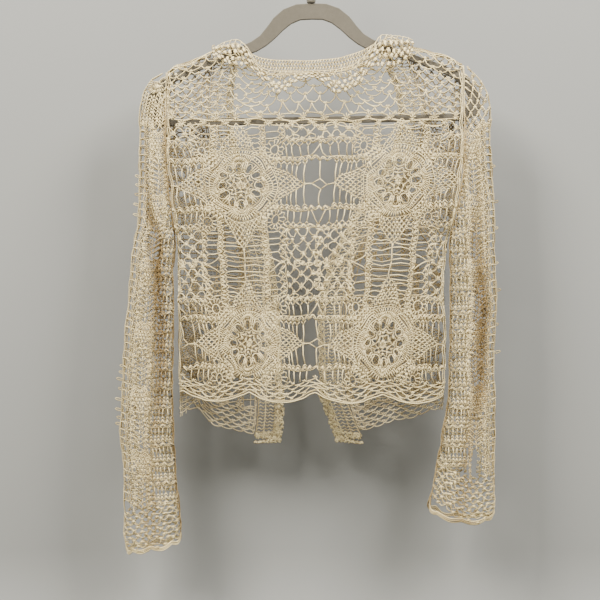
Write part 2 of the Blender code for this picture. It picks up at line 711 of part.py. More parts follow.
def build_sleeve(side, half, part, material, group):
    """The upper or lower part of half a sleeve, from its outer fold to its inner one."""
    sleeve = SLEEVE_LEFT if side == "left" else SLEEVE_RIGHT
    outline = upper_sleeve_outline(sleeve) if part == "upper" else lower_sleeve_outline(side)
    gaps = keep_gaps(sleeve_gaps(), outline, GAP_LIMIT["sleeve"])
    fillers = [(share * HALF_GIRTH, drop)
               for drop in np.arange(sleeve["drop"][0] + SLEEVE_STEP / 2, 800, SLEEVE_STEP)
               for share in SLEEVE_SHARES]
    facing = -1 if half == "back" else 1

    def place(along, drop):
        return sleeve_point(sleeve, along / HALF_GIRTH, drop, facing)

    return lace_sheet(f"sleeve_{side}_{half}_{part}", outline, gaps, np.array(fillers),
                      place, material, group)


# ---------------------------------------------------------- collar and edging


def build_collar_band(material, group):
    """The close-worked band that finishes the back of the neck."""
    x = np.linspace(NECK["x"][0], NECK["x"][-1], NECK_STATIONS)
    top = along_x(NECK, "drop", x)
    rails = []
    for share in (0, 0.5, 1):
        rail = body_point(x, top + BAND_HEIGHT * share, 0)
        rail[:, 1] = body_point(x, neckline(x), -1)[:, 1] + 0.6 * (share - 1)
        rails.append(rail)
    return strip_sheet("collar_band", rails, material, group, DENSE_WALL)


def build_collar_ruffle(material, group):
    """The shell ruffle that falls from the band, with a lobe at each shoulder."""
    table = RUFFLE
    count = int((table["x"][-1] - table["x"][0]) / RUFFLE_WAVE * 4) + 1
    x = np.linspace(table["x"][0], table["x"][-1], count)
    upper, lower = along_x(table, "upper", x), along_x(table, "lower", x)
    wave = 0.5 - 0.5 * np.cos(2 * np.pi * (x - x[0]) / RUFFLE_WAVE)
    rails = []
    over_shoulder = on_shoulder(x)
    for share in (0, 0.4, 1):
        drop = upper + (lower - upper) * share
        rail = body_point(x, drop, -1)
        clear = body_point(x, np.maximum(drop, top_line(x) + RUFFLE_CLEAR), -1)[:, 1]
        hang = clear - RUFFLE_LIFT - RUFFLE_FLARE * share * (0.35 + 0.65 * wave)
        rail[:, 1] = hang if share else hang * (1 - over_shoulder) - RUFFLE_RIDGE * over_shoulder
        rails.append(rail)
    return strip_sheet("collar_ruffle", rails, material, group, WALL)


def build_edging(side, material, group):
    """The shell edging down one front, rolled a little outwards."""
    opening = OPENING_LEFT if side == "left" else OPENING_RIGHT
    inwards = 1 if side == "left" else -1
    drop = np.linspace(opening["drop"][0] + 3, opening["drop"][-1],
                       2 * int((opening["drop"][-1] - opening["drop"][0]) / EDGING_PITCH))
    sewn_at = opening_drops(opening)
    sewn = np.interp(drop, sewn_at, at_drop(opening, "x", sewn_at)) - inwards * EDGING_WIDTH
    free = at_drop(opening, "x", drop)
    scallop = inwards * EDGING_SCALLOP * (np.arange(len(drop)) % 2 - 1)
    rails = []
    for share in (0, 0.6, 1):
        x = sewn + (free - sewn) * share + scallop * (share == 1)
        rail = body_point(x, drop, 1)
        rail[:, 1] += EDGING_CURL * share ** 2 * smooth_step((drop - 150) / 120)
        rails.append(rail)
    return strip_sheet(f"front_edging_{side}", rails, material, group, DENSE_WALL)


# --------------------------------------------------------------------- hanger


def flat_spline(curve, table):
    """Add one closed outline, mirrored about the hook's line."""
    half = list(zip(table["x"], table["drop"]))
    ring = half + [(-x, drop) for x, drop in half[-2:0:-1]]
    spline = curve.splines.new("POLY")
    spline.points.add(len(ring) - 1)
    for point, (x, drop) in zip(spline.points, ring):
        point.co = (x * MM, -drop * MM, 0.0, 1.0)
    spline.use_cyclic_u = True


def build_hanger_frame(material, group):
    """The flat hanger: arch, sloping arms, round ends and trouser bar."""
    curve = bpy.data.curves.new("hanger_frame", "CURVE")
    curve.dimensions = "2D"
    curve.fill_mode = "BOTH"
    curve.extrude = (HANGER_THICK / 2 - HANGER_EDGE) * MM
    curve.bevel_depth = HANGER_EDGE * MM
    curve.bevel_resolution = 0
    curve.offset = -HANGER_EDGE * MM
    flat_spline(curve, HANGER_OUTER)
    flat_spline(curve, HANGER_INNER)
    curve.materials.append(material)
    item = bpy.data.objects.new("hanger_frame", curve)
    item.rotation_euler = (math.pi / 2, 0.0, 0.0)
    group.objects.link(item)
    return item


def build_hanger_boss(material, group):
    """The round boss that holds the hook's stem."""
    bpy.ops.mesh.primitive_cylinder_add(
        vertices=16, radius=BOSS_RADIUS * MM, depth=(BOSS_BOTTOM - BOSS_TOP) * MM,
        location=(0, 0, -(BOSS_TOP + BOSS_BOTTOM) / 2 * MM))
    item = bpy.context.active_object
    item.name = "hanger_boss"
    item.data.name = "hanger_boss"
    for owner in list(item.users_collection):
        owner.objects.unlink(item)
    group.objects.link(item)
    item.data.materials.append(material)
    round_edge = item.modifiers.new("round_edge", "BEVEL")
    round_edge.width = 1.2 * MM
    round_edge.segments = 1
    item.data.shade_smooth()
    return item


def hook_path():
    """Points of the hook's wire: the stem, a soft bend and the bow."""
    radius = HOOK_BOW + HOOK_WIRE
    path = [(x, -drop) for x, drop in zip(HOOK_STEM["x"], HOOK_STEM["drop"])]
    first, last = HOOK_ARC
    for angle in np.radians(np.linspace(first, last, HOOK_STEPS)):
        path.append((radius * math.cos(angle), radius * math.sin(angle) - HOOK_BOW))
    return path


def build_hanger_hook(material, group):
    """The hook, one bent wire with filled ends."""
    curve = bpy.data.curves.new("hanger_hook", "CURVE")
    curve.dimensions = "3D"
    curve.bevel_depth = HOOK_WIRE * MM
    curve.bevel_resolution = 2
    curve.use_fill_caps = True
    path = hook_path()
    spline = curve.splines.new("POLY")
    spline.points.add(len(path) - 1)
    for point, (x, z) in zip(spline.points, path):
        point.co = (x * MM, 0.0, z * MM, 1.0)
    curve.materials.append(material)
    item = bpy.data.objects.new("hanger_hook", curve)
    group.objects.link(item)
    return item


def build_hanger(flock, metal, group):
    """The hanger, tilted about the point that it hangs from."""
    pivot = bpy.data.objects.new("hanger_pivot", None)
    group.objects.link(pivot)
    pieces = [build_hanger_frame(flock, group), build_hanger_boss(flock, group),
              build_hanger_hook(metal, group)]
    for piece in pieces:
        piece.parent = pivot
    pivot.rotation_euler = (0.0, -HANGER_TILT, 0.0)


# ----------------------------------------------------------------------- main


def main():
    """Build the cardigan and its hanger."""
    clear_scene()
    group = new_collection("crochet_cardigan")
    lace = (0.83, 0.75, 0.56)
    build_back(finish_material("back_lace", lace, 0.85), group)
    for side in ("left", "right"):
        build_front(side, finish_material(f"front_{side}_lace", lace, 0.85), group)
        build_edging(side, finish_material(f"edging_{side}_shells", lace, 0.85), group)
        for half in ("back", "front"):
            for part in ("upper", "lower"):
                yarn = finish_material(f"sleeve_{side}_{half}_{part}_lace", lace, 0.85)
                build_sleeve(side, half, part, yarn, group)
    build_collar_band(finish_material("collar_close_rows", lace, 0.85), group)
    build_collar_ruffle(finish_material("collar_shells", lace, 0.85), group)
    build_hanger(finish_material("beige_flock", (0.33, 0.29, 0.2), 0.95),
                 finish_material("bright_steel", (0.75, 0.75, 0.74), 0.28, 1.0), group)


main()
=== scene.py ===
"""Looks of an open-work crochet cardigan of cream cotton on a slim flocked hanger.

Every piece of cloth is lace worked out in yarn. A chart lays the strands out on the flat
cloth, in millimetres across and down, a cloth bends them into the place where the garment
hangs, and a round yarn is swept along each strand. The cardigan's back faces -Y.
"""

import logging
import math
from abc import ABC, abstractmethod
from collections.abc import Callable, Iterable
from dataclasses import dataclass, field
from enum import Enum

import bpy
import numpy as np
from numpy.typing import NDArray
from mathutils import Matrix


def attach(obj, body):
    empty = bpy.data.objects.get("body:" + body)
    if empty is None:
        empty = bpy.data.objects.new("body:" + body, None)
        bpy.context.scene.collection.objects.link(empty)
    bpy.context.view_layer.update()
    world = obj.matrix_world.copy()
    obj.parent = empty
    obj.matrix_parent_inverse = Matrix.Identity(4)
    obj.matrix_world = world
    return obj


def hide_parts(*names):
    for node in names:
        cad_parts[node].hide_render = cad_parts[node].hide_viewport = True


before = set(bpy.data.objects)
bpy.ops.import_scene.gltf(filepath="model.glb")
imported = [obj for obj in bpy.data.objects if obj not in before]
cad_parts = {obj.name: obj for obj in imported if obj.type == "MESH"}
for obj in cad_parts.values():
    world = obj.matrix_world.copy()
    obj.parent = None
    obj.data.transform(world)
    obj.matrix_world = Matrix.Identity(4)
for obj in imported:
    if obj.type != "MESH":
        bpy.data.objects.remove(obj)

Array = NDArray[np.float64]
Pair = tuple[float, float]
Triple = tuple[float, float, float]
Item = bpy.types.Object
Material = bpy.types.Material
Node = bpy.types.Node
Tree = bpy.types.NodeTree
Socket = bpy.types.NodeSocket

LOG = logging.getLogger("cardigan")
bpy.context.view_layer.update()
BODY_NAME = "root"
MM = 0.001
UP, DOWN = -math.pi / 2, math.pi / 2


# ---- small helps


class Choice(Enum):
    """A choice that a column of the body's table is named for."""

    @property
    def column(self) -> str:
        """Name of the column."""
        return self.name.lower()


class Side(Choice):
    """The wearer's side, with the way from the garment's middle out to it."""

    LEFT = -1
    RIGHT = 1


class Layer(Choice):
    """Which layer of the garment, with the way that it faces along Y."""

    BACK = -1
    FRONT = 1


class Stitch(Enum):
    """A kind of strand: the yarn's radius and how far it stands out, in millimetres."""

    CHAIN = (0.84, 0.0)
    SINGLE = (0.66, -0.2)
    POST = (0.78, 0.4)
    SCALE = (0.72, 0.3)
    SHELL = (0.86, 0.7)
    CORD = (0.96, 0.3)
    KNOB = (1.45, 1.1)

    @property
    def radius(self) -> float:
        """Radius of the yarn."""
        return self.value[0]

    @property
    def lift(self) -> float:
        """How far the strand stands out of the cloth."""
        return self.value[1]


@dataclass(frozen=True)
class Table:
    """A short table of named columns, read between its rows on a smooth curve."""

    columns: dict[str, tuple[float, ...]]

    def first(self, column: str) -> float:
        """Top value of a column."""
        return self.columns[column][0]

    def last(self, column: str) -> float:
        """Bottom value of a column."""
        return self.columns[column][-1]

    def at(self, column: str, where: Array, key: str = "drop") -> Array:
        """Read a column where the key column has the given values.

        Between two rows runs a cubic whose end slopes are the harmonic mean of the
        slopes beside each row, and level where those differ in sign, so that the
        curve never passes beyond its rows.

        Args:
            column: name of the column to read.
            where: values of the key column.
            key: name of the key column, which rises or falls all the way.

        Returns:
            The column's values, shaped like where.
        """
        knots = np.asarray(self.columns[key], dtype=float)
        values = np.asarray(self.columns[column], dtype=float)
        if knots[0] > knots[-1]:
            knots, values = knots[::-1], values[::-1]
        spans = np.diff(knots)
        rises = np.diff(values) / spans
        slopes = np.zeros_like(values)
        same_way = rises[:-1] * rises[1:] > 0
        mean = 2 * rises[:-1] * rises[1:] / np.where(same_way, rises[:-1] + rises[1:], 1)
        slopes[1:-1] = np.where(same_way, mean, 0)
        where = np.clip(np.asarray(where, dtype=float), knots[0], knots[-1])
        row = np.clip(np.searchsorted(knots, where, side="right") - 1, 0, len(knots) - 2)
        t = (where - knots[row]) / spans[row]
        return ((1 + 2 * t) * (1 - t) ** 2 * values[row]
                + t * (1 - t) ** 2 * slopes[row] * spans[row]
                + t * t * (3 - 2 * t) * values[row + 1]
                - t * t * (1 - t) * slopes[row + 1] * spans[row])


def smooth_step(value: Array) -> Array:
    """Rise from 0 to 1 as the value does, as 3 v squared less 2 v cubed."""
    value = np.clip(value, 0, 1)
    return value * value * (3 - 2 * value)


def unit(vectors: Array) -> Array:
    """Scale vectors to a length of 1."""
    return vectors / np.maximum(np.linalg.norm(vectors, axis=-1, keepdims=True), 1e-9)


def put(name: str, data: bpy.types.ID, place: Triple = (0.0, 0.0, 0.0),
        turn: Triple = (0.0, 0.0, 0.0)) -> Item:
    """Put an object into the scene.

    Args:
        name: its name.
        data: its mesh, light or camera.
        place: its location in metres.
        turn: its turn about the three axes.

    Returns:
        The object.
    """
    item = bpy.data.objects.new(name, data)
    item.location, item.rotation_euler = place, turn
    bpy.context.scene.collection.objects.link(item)
    return item


# ---- the garment's sizes

BODY = Table({
    "drop": (120, 170, 200, 275, 327, 361, 392, 420, 455, 494, 517, 562, 620, 680),
    "left": (-190, -190, -190, -190, -186, -182, -177.6, -176, -175.6, -175,
             -174.8, -174.4, -173.5, -173),
    "right": (203, 203, 203, 202.6, 198, 191.5, 184, 180.5, 177.5, 179.6,
              181.4, 180, 177, 176),
    "back": (6, 7.5, 9, 14, 17.5, 20, 22, 23.5, 24.5, 25.5, 26, 27.5, 29, 30),
    "front": (6.5, 8, 10, 15, 20, 22.5, 25, 26.5, 28, 29.5, 30.5, 33, 36, 38),
})
SLEEVES = {
    Side.LEFT: Table({
        "drop": (171.5, 181, 197, 216, 245, 314, 350, 374, 392, 439, 486, 517, 562, 614,
                 656, 692, 744, 783, 812),
        "outer": (-196, -209.5, -219.5, -224, -226, -226.1, -226.8, -228, -233, -237.4,
                  -242.2, -245, -247.4, -250, -251, -247.4, -246, -246, -243),
        "inner": (-179.3, -179.3, -179.3, -179.3, -179.3, -179.3, -179.3, -179.3, -179.3,
                  -183, -181.7, -182.2, -183.4, -183.2, -181.8, -179.8, -174.8, -172.4,
                  -171),
        "depth": (3.8, 4.8, 6.5, 9, 12, 16, 18, 20, 21, 22, 22.5, 23, 23.5, 24,
                  25, 26, 28, 30, 31),
        "turn": (0.5, 0.5, 0.5, 0.52, 0.55, 0.68, 0.8, 0.9) + 11 * (1,),
        "channel": (0, 0, 0, 0, 1, 3, 6, 8, 9, 11.5, 12, 11, 9, 6, 4, 3, 4, 4, 4),
        "place": (0.4, 0.4, 0.4, 0.4, 0.4, 0.42, 0.46, 0.5, 0.54, 0.6, 0.64, 0.67, 0.68,
                  0.66, 0.6, 0.55, 0.5, 0.5, 0.5),
    }),
    Side.RIGHT: Table({
        "drop": (162, 175, 193, 218, 257, 318, 350, 374, 392, 425, 455, 484, 509, 562,
                 600, 642, 687, 729, 768),
        "outer": (208.6, 220.8, 232.8, 238.7, 239.4, 242, 244.5, 244.8, 244.8, 244.9,
                  246.7, 248.3, 245.2, 243.6, 245.8, 244.8, 244.7, 244.4, 243.6),
        "inner": (185.6, 185.6, 185.6, 185.6, 185.6, 185.6, 185.6, 185.6, 185.6, 187.6,
                  187.4, 187.2, 187.1, 186.4, 184.6, 178.6, 170.4, 162.4, 152.5),
        "depth": (3.8, 4.8, 6.5, 9.5, 13, 16, 18, 20, 21, 22, 22.5, 23, 23.5, 24,
                  25, 26, 28, 30, 31),
        "turn": (0.5, 0.5, 0.5, 0.52, 0.56, 0.68, 0.8, 0.9) + 11 * (1,),
        "channel": (0, 0, 0, 0.5, 1, 3, 4, 5, 6, 8, 10, 12, 12, 11, 8, 5, 4, 4, 4),
        "place": (0.6, 0.6, 0.6, 0.6, 0.6, 0.6, 0.56, 0.5, 0.46, 0.42, 0.4, 0.38, 0.38,
                  0.38, 0.42, 0.46, 0.5, 0.5, 0.5),
    }),
}
BODY_FOLDS = {
    Layer.BACK: Table({
        "x": (-146, -104, -48, 4, 58, 112, 152),
        "top": (400, 470, 440, 500, 430, 480, 400),
        "width": (13, 17, 19, 16, 20, 17, 13),
        "depth": (5, -4, 4.5, -5, 4.5, -4, 5),
    }),
    Layer.FRONT: Table({
        "x": (-150, -112, -74, 44, 82, 118, 154),
        "top": (300, 360, 420, 430, 370, 300, 330),
        "width": (13, 14, 15, 14, 16, 15, 12),
        "depth": (6, -6, 7, 7, -6, 6, -5),
    }),
}
SHOULDERS = {
    Side.LEFT: Table({
        "x": (-190, -177.6, -161, -143.6, -130, -118.4, -97),
        "drop": (169.4, 161.5, 156, 149.5, 143.4, 137.5, 131),
    }),
    Side.RIGHT: Table({
        "x": (100, 127.7, 139.7, 157, 187, 203),
        "drop": (123.6, 130, 136.8, 141.8, 151, 159),
    }),
}
NECK = Table({
    "x": (-84, -77, -64.5, -45, -5, 36, 56, 77, 85),
    "drop": (141.5, 147.5, 153.2, 156, 156.5, 153.5, 148, 139.3, 135),
})
OPENINGS = {
    Side.LEFT: Table({
        "drop": (132, 160, 195, 232, 300, 370, 426, 500, 590, 640, 668),
        "x": (-97, -95, -100, -101, -86, -62, -46, -38, -36, -38, -42),
    }),
    Side.RIGHT: Table({
        "drop": (125, 160, 195, 232, 300, 370, 426, 500, 590, 640, 668),
        "x": (100, 100, 112, 117, 96, 52, 23, 9, 12, 28, 38),
    }),
}
FRONT_HEMS = {
    Side.LEFT: Table({
        "x": (-172.6, -154, -136, -116, -94, -76),
        "drop": (630, 619, 642, 650, 654, 660),
    }),
    Side.RIGHT: Table({
        "x": (174, 150, 125, 107, 91, 74),
        "drop": (621, 630, 639, 642, 647, 654),
    }),
}
RUFFLE = Table({
    "x": (-129, -113, -97, -84, -74, -64, -53, -42, -32, -20, -9, 3, 13, 24, 37, 53,
          66, 74, 82, 97, 114, 130, 137),
    "upper": (139, 131.5, 127.5, 138, 156, 166, 170, 171, 171.4, 171.6, 171.7, 171.6,
              171, 170, 168.4, 164.5, 156, 147.5, 139, 120.5, 122.5, 125.5, 129),
    "lower": (151, 160, 163.4, 162, 172, 181.4, 194.7, 201.4, 197.4, 187.5, 181.5, 180.5,
              182, 192, 201.4, 196, 187, 176, 164.5, 162.8, 162.8, 153, 149),
})
BAND_HEIGHT = 15.5
BAND_ENDS = (-83.5, 84.5)
EDGING_WIDTH = 34.0
EDGING_SEAM = 0.8
HALF_GIRTH = 110.0
UNDERARM = 392.0

# Half the gap where the cloth closes, how fast it opens below, and how far the lace stays
# inside seams and hems; last, the share of the back's channel that a front half has.
CLOSED_DEPTH = 1.3
PINCH_FALL = 5.0
SEAM_INSET = 0.9
HEM_INSET = 0.8
FRONT_CHANNEL = 0.45


# ---- strands on the flat


def straight(start: Array, end: Array, count: int = 2) -> Array:
    """Straight strands, (strands, count, 2): starts plus shares of the way to the ends."""
    share = np.linspace(0, 1, count)[None, :, None]
    return start[:, None] + (end - start)[:, None] * share


def bent(start: Array, via: Array, end: Array, count: int = 5) -> Array:
    """Bent strands, (strands, count, 2), on parabolas through three points each.

    Args:
        start, via, end: first, middle and last points, (strands, 2).
        count: points on each strand.

    Returns:
        Points, (strands, count, 2).
    """
    share = np.linspace(0, 1, count)[None, :, None]
    return ((1 - share) * (1 - 2 * share) * start[:, None]
            + 4 * share * (1 - share) * via[:, None]
            + share * (2 * share - 1) * end[:, None])


def polar(radius: Array, angle: Array) -> Array:
    """Points at a radius and an angle, which turns from across to down."""
    radius, angle = np.broadcast_arrays(radius, angle)
    return np.stack([radius * np.cos(angle), radius * np.sin(angle)], axis=-1)


def ring(radius: float, count: int = 13) -> Array:
    """One closed ring about the chart's origin, (1, count, 2)."""
    return polar(radius, np.linspace(0, 2 * math.pi, count))[None]


def evenly(first: float, last: float, pitch: float) -> Array:
    """Evenly spaced values from first to last, as near the pitch as fits."""
    return np.linspace(first, last, max(int(round((last - first) / pitch)), 1) + 1)


def across(u: Array, v: Array | float) -> Array:
    """Join places across and down into points, (count, 2)."""
    return np.stack(np.broadcast_arrays(np.asarray(u, float), np.asarray(v, float)), axis=-1)


@dataclass
class Chart:
    """Strands of lace on the flat, in batches whose strands have as many points."""

    batches: list[tuple[Array, Stitch]] = field(default_factory=list)

    def add(self, strands: Array, stitch: Stitch) -> None:
        """Add strands, (strands, points, 2), of one kind."""
        if len(strands):
            self.batches.append((np.asarray(strands, dtype=float), stitch))

    def join(self, other: "Chart") -> None:
        """Add all of another chart's strands."""
        self.batches.extend(other.batches)

    def turned(self, angle: float) -> "Chart":
        """A copy turned about the chart's origin.

        Args:
            angle: the turn, from across to down.

        Returns:
            The copy.
        """
        turn = np.array([[math.cos(angle), math.sin(angle)],
                         [-math.sin(angle), math.cos(angle)]])
        return Chart([(strands @ turn, stitch) for strands, stitch in self.batches])

    def moved(self, u: float, v: float) -> "Chart":
        """A copy moved across and down."""
        return Chart([(strands + (u, v), stitch) for strands, stitch in self.batches])

    def scaled(self, u: float, v: float) -> "Chart":
        """A copy stretched across and down."""
        return Chart([(strands * (u, v), stitch) for strands, stitch in self.batches])

    def between(self, top: Callable[[Array], Array | float],
                bottom: Callable[[Array], Array | float]) -> "Chart":
        """A copy with only the strands whose middles lie between two drops.

        Args:
            top, bottom: the drops, worked out from places across.

        Returns:
            The copy.
        """
        chart = Chart()
        for strands, stitch in self.batches:
            u, v = strands.mean(axis=1).T
            chart.add(strands[(v > top(u)) & (v < bottom(u))], stitch)
        return chart

    def line(self, u: Array | float, v: Array | float, stitch: Stitch) -> None:
        """Add one strand through places across and down."""
        self.add(across(u, v)[None], stitch)

    def loops(self, anchors: Array, rise: float, stitch: Stitch = Stitch.CHAIN,
              count: int = 5) -> None:
        """Hang a chain loop between each two neighbouring anchors.

        Args:
            anchors: points that the row is worked into, (count, 2).
            rise: how far each loop reaches to the left of its way along the row.
            stitch: kind of strand.
            count: points on each loop.
        """
        start, end = anchors[:-1], anchors[1:]
        run = unit(end - start)
        via = (start + end) / 2 + rise * np.stack([run[:, 1], -run[:, 0]], axis=-1)
        self.add(bent(start, via, end, count), stitch)

    def shells(self, roots: Array, heading: Array | float, reach: float, spread: float,
               posts: int, stitch: Stitch = Stitch.POST, rim: bool = False) -> None:
        """Work a shell, a fan of posts out of one root, at each place.

        Args:
            roots: points that the shells stand in, (count, 2).
            heading: way that each shell opens, an angle from across to down.
            reach: length of the posts.
            spread: angle from the first post to the last.
            posts: number of posts.
            stitch: kind of the posts.
            rim: whether a chain joins the posts' ends.
        """
        fan = np.linspace(-spread / 2, spread / 2, posts)
        angle = np.broadcast_to(heading, len(roots))[:, None] + fan
        ends = roots[:, None] + polar(reach, angle)
        starts = roots[:, None] + polar(reach * 0.12, angle)
        self.add(straight(starts.reshape(-1, 2), ends.reshape(-1, 2)), stitch)
        if rim:
            self.add(ends, Stitch.CHAIN)

    def net(self, left: float, right: float, top: float, bottom: float, width: float,
            height: float, knots: int = 0) -> None:
        """Fill a rectangle with rows of hanging loops, each row half a loop along.

        Args:
            left, right, top, bottom: the rectangle.
            width: width of a loop.
            height: height of a row.
            knots: posts in the small shell at each anchor, or 0 for none.
        """
        for row, v in enumerate(np.arange(top, bottom, height)):
            first = left - width / 2 * (row % 2)
            anchors = across(np.arange(first, right + width, width), v)
            self.loops(anchors, -height)
            if knots:
                self.shells(anchors, DOWN, height * 0.4, 1.5, knots)

    def zigzag(self, nodes: Array, reach: Array, tips: Stitch = Stitch.SHELL) -> None:
        """Work a lumpy row of small clusters that leans to and fro between two edges.

        Args:
            nodes: points along the near edge, (count, 2).
            reach: way from the near edge to the far one, (2,).
            tips: stitch of the clusters.
        """
        reach = np.asarray(reach, float)
        far = (nodes[:-1] + nodes[1:]) / 2 + reach
        for near, end in ((nodes[:-1], far), (nodes[1:], far)):
            self.add(bent(near, (near + end) / 2 + 0.25 * reach, end, 3), tips)
            self.add(straight(near - 0.1 * reach, end - 0.38 * reach), Stitch.SINGLE)
        self.add(straight(far[:-1], far[1:]), Stitch.SINGLE)

    def popcorns(self, roots: Array, reach: float, seed: int,
                 stitch: Stitch = Stitch.SHELL) -> None:
        """Work a popcorn, a knob of three short crossed stitches, at each place.

        Args:
            roots: middles of the popcorns, (count, 2).
            reach: half the length of each stitch.
            seed: number that the stitches' turns are drawn from.
            stitch: kind of strand.
        """
        turns = np.random.default_rng(seed).uniform(0, math.pi, len(roots))
        for turn in turns + np.arange(3)[:, None] * math.pi / 3:
            way = polar(reach, turn)
            aside = 0.35 * np.stack([-way[:, 1], way[:, 0]], axis=-1)
            self.add(bent(roots - way, roots + aside, roots + way, 4), stitch)

    def waves(self, anchors: Array, rise: Array | float,
              stitch: Stitch = Stitch.CHAIN) -> None:
        """Hang a flat-bottomed loop between each two neighbouring anchors.

        Args:
            anchors: points that the row is worked into, (count, 2).
            rise: how far each loop's flat part lies below the anchors, in chart terms.
            stitch: kind of strand.
        """
        start, end = anchors[:-1], anchors[1:]
        down = across(np.zeros(len(start)), np.broadcast_to(rise, len(start)))
        parts = [start + (end - start) * share + down * low
                 for share, low in ((0, 0), (0.12, 0.62), (0.34, 1), (0.66, 1),
                                    (0.88, 0.62), (1, 0))]
        self.add(np.stack(parts, axis=1), stitch)

    def bars(self, nodes: Array, reach: Array, bow: float = 0.5,
             fork: float = 3.2) -> None:
        """Work a row of long upright bars from each node, each forked at its end.

        Args:
            nodes: feet of the bars, (count, 2).
            reach: way along each bar, (2,) or (count, 2).
            bow: how far a bar bends aside, turn about from bar to bar.
            fork: how far each of the two tips lies beside the bar's own line.
        """
        reach = np.broadcast_to(np.asarray(reach, float), nodes.shape)
        aside = bow * np.where(np.arange(len(nodes)) % 2, 1, -1)[:, None]
        side = unit(np.stack([reach[:, 1], -reach[:, 0]], axis=-1))
        size = np.linalg.norm(reach, axis=-1, keepdims=True)
        split = nodes + reach * (1 - np.clip(3.6 / np.maximum(size, 1), 0, 0.4))
        self.add(bent(nodes, (nodes + split) / 2 + aside * side, split, 3), Stitch.CHAIN)
        for way in (-1, 1):
            self.add(straight(split, nodes + reach + way * fork * side), Stitch.SCALE)


# ---- lace motifs


@dataclass(frozen=True)
class Pineapple:
    """A fan of posts, and the scale rows that narrow from it to a tip.

    The fan's centre is the origin and the tip lies across from it, to the right. The
    rows lie on arcs about a point further back, the centre of the round net.
    """

    back: float = 27.0
    crescent: Pair = (6.6, 10.4)
    crescent_posts: int = 13
    crescent_spread: float = math.radians(74)
    posts: int = 15
    post_inner: float = 11.0
    post_outer: float = 19.5
    post_break: float = 0.46
    inner_spread: float = math.radians(84)
    outer_spread: float = math.radians(33)
    loops: int = 9
    loop_width: float = 5.6
    row_height: float = 3.95
    first_gap: float = 1.2

    def row_points(self, row: int) -> Array:
        """Anchors of one scale row, on an arc about the round net's centre.

        Args:
            row: number of the row, counted from the fan.

        Returns:
            Points, one more than the row has loops, (count, 2).
        """
        radius = self.back + self.post_outer + self.first_gap + self.row_height * row
        places = np.arange(self.loops - row + 1) - (self.loops - row) / 2
        return polar(radius, places * self.loop_width / radius) - (self.back, 0)

    @property
    def tip(self) -> float:
        """Distance from the fan's centre to the tip."""
        return self.post_outer + self.first_gap + self.row_height * self.loops

    def chart(self) -> Chart:
        """Lay the pineapple out, its tip to the right of its fan.

        Returns:
            Its strands: crescent, two rows of posts, and the scale rows.
        """
        chart = Chart()
        angles = np.linspace(-self.crescent_spread, self.crescent_spread,
                             self.crescent_posts)
        low, high = self.crescent
        chart.add(straight(polar(low, angles), polar(high, angles)), Stitch.SHELL)
        chart.add(polar(high + 0.6, angles[::2])[None], Stitch.CHAIN)
        inner, outer = (np.linspace(-spread, spread, self.posts)
                        for spread in (self.inner_spread, self.outer_spread))
        roots = polar(self.post_inner, inner)
        ends = polar(self.back + self.post_outer, outer) - (self.back, 0)
        halfway = roots + (ends - roots) * self.post_break
        chart.add(straight(roots, halfway), Stitch.POST)
        chart.add(straight((halfway[1:] + halfway[:-1]) / 2, (ends[1:] + ends[:-1]) / 2),
                  Stitch.POST)
        chart.add(halfway[None], Stitch.SCALE)
        chart.add((ends + (1.0, 0))[None], Stitch.SCALE)
        edges: list[Array] = []
        for row in range(self.loops):
            here, there = self.row_points(row), self.row_points(row + 1)
            chart.add(bent(here[:-1], there, here[1:], 4), Stitch.SCALE)
            chart.shells(there, 0.0, 2.3, 1.5, 2)
            edges.append(here[[0, -1]])
        edges.append(np.array([[self.tip, 0.0], [self.tip, 0.0]]))
        chart.add(np.stack(edges, axis=1), Stitch.SINGLE)
        return chart


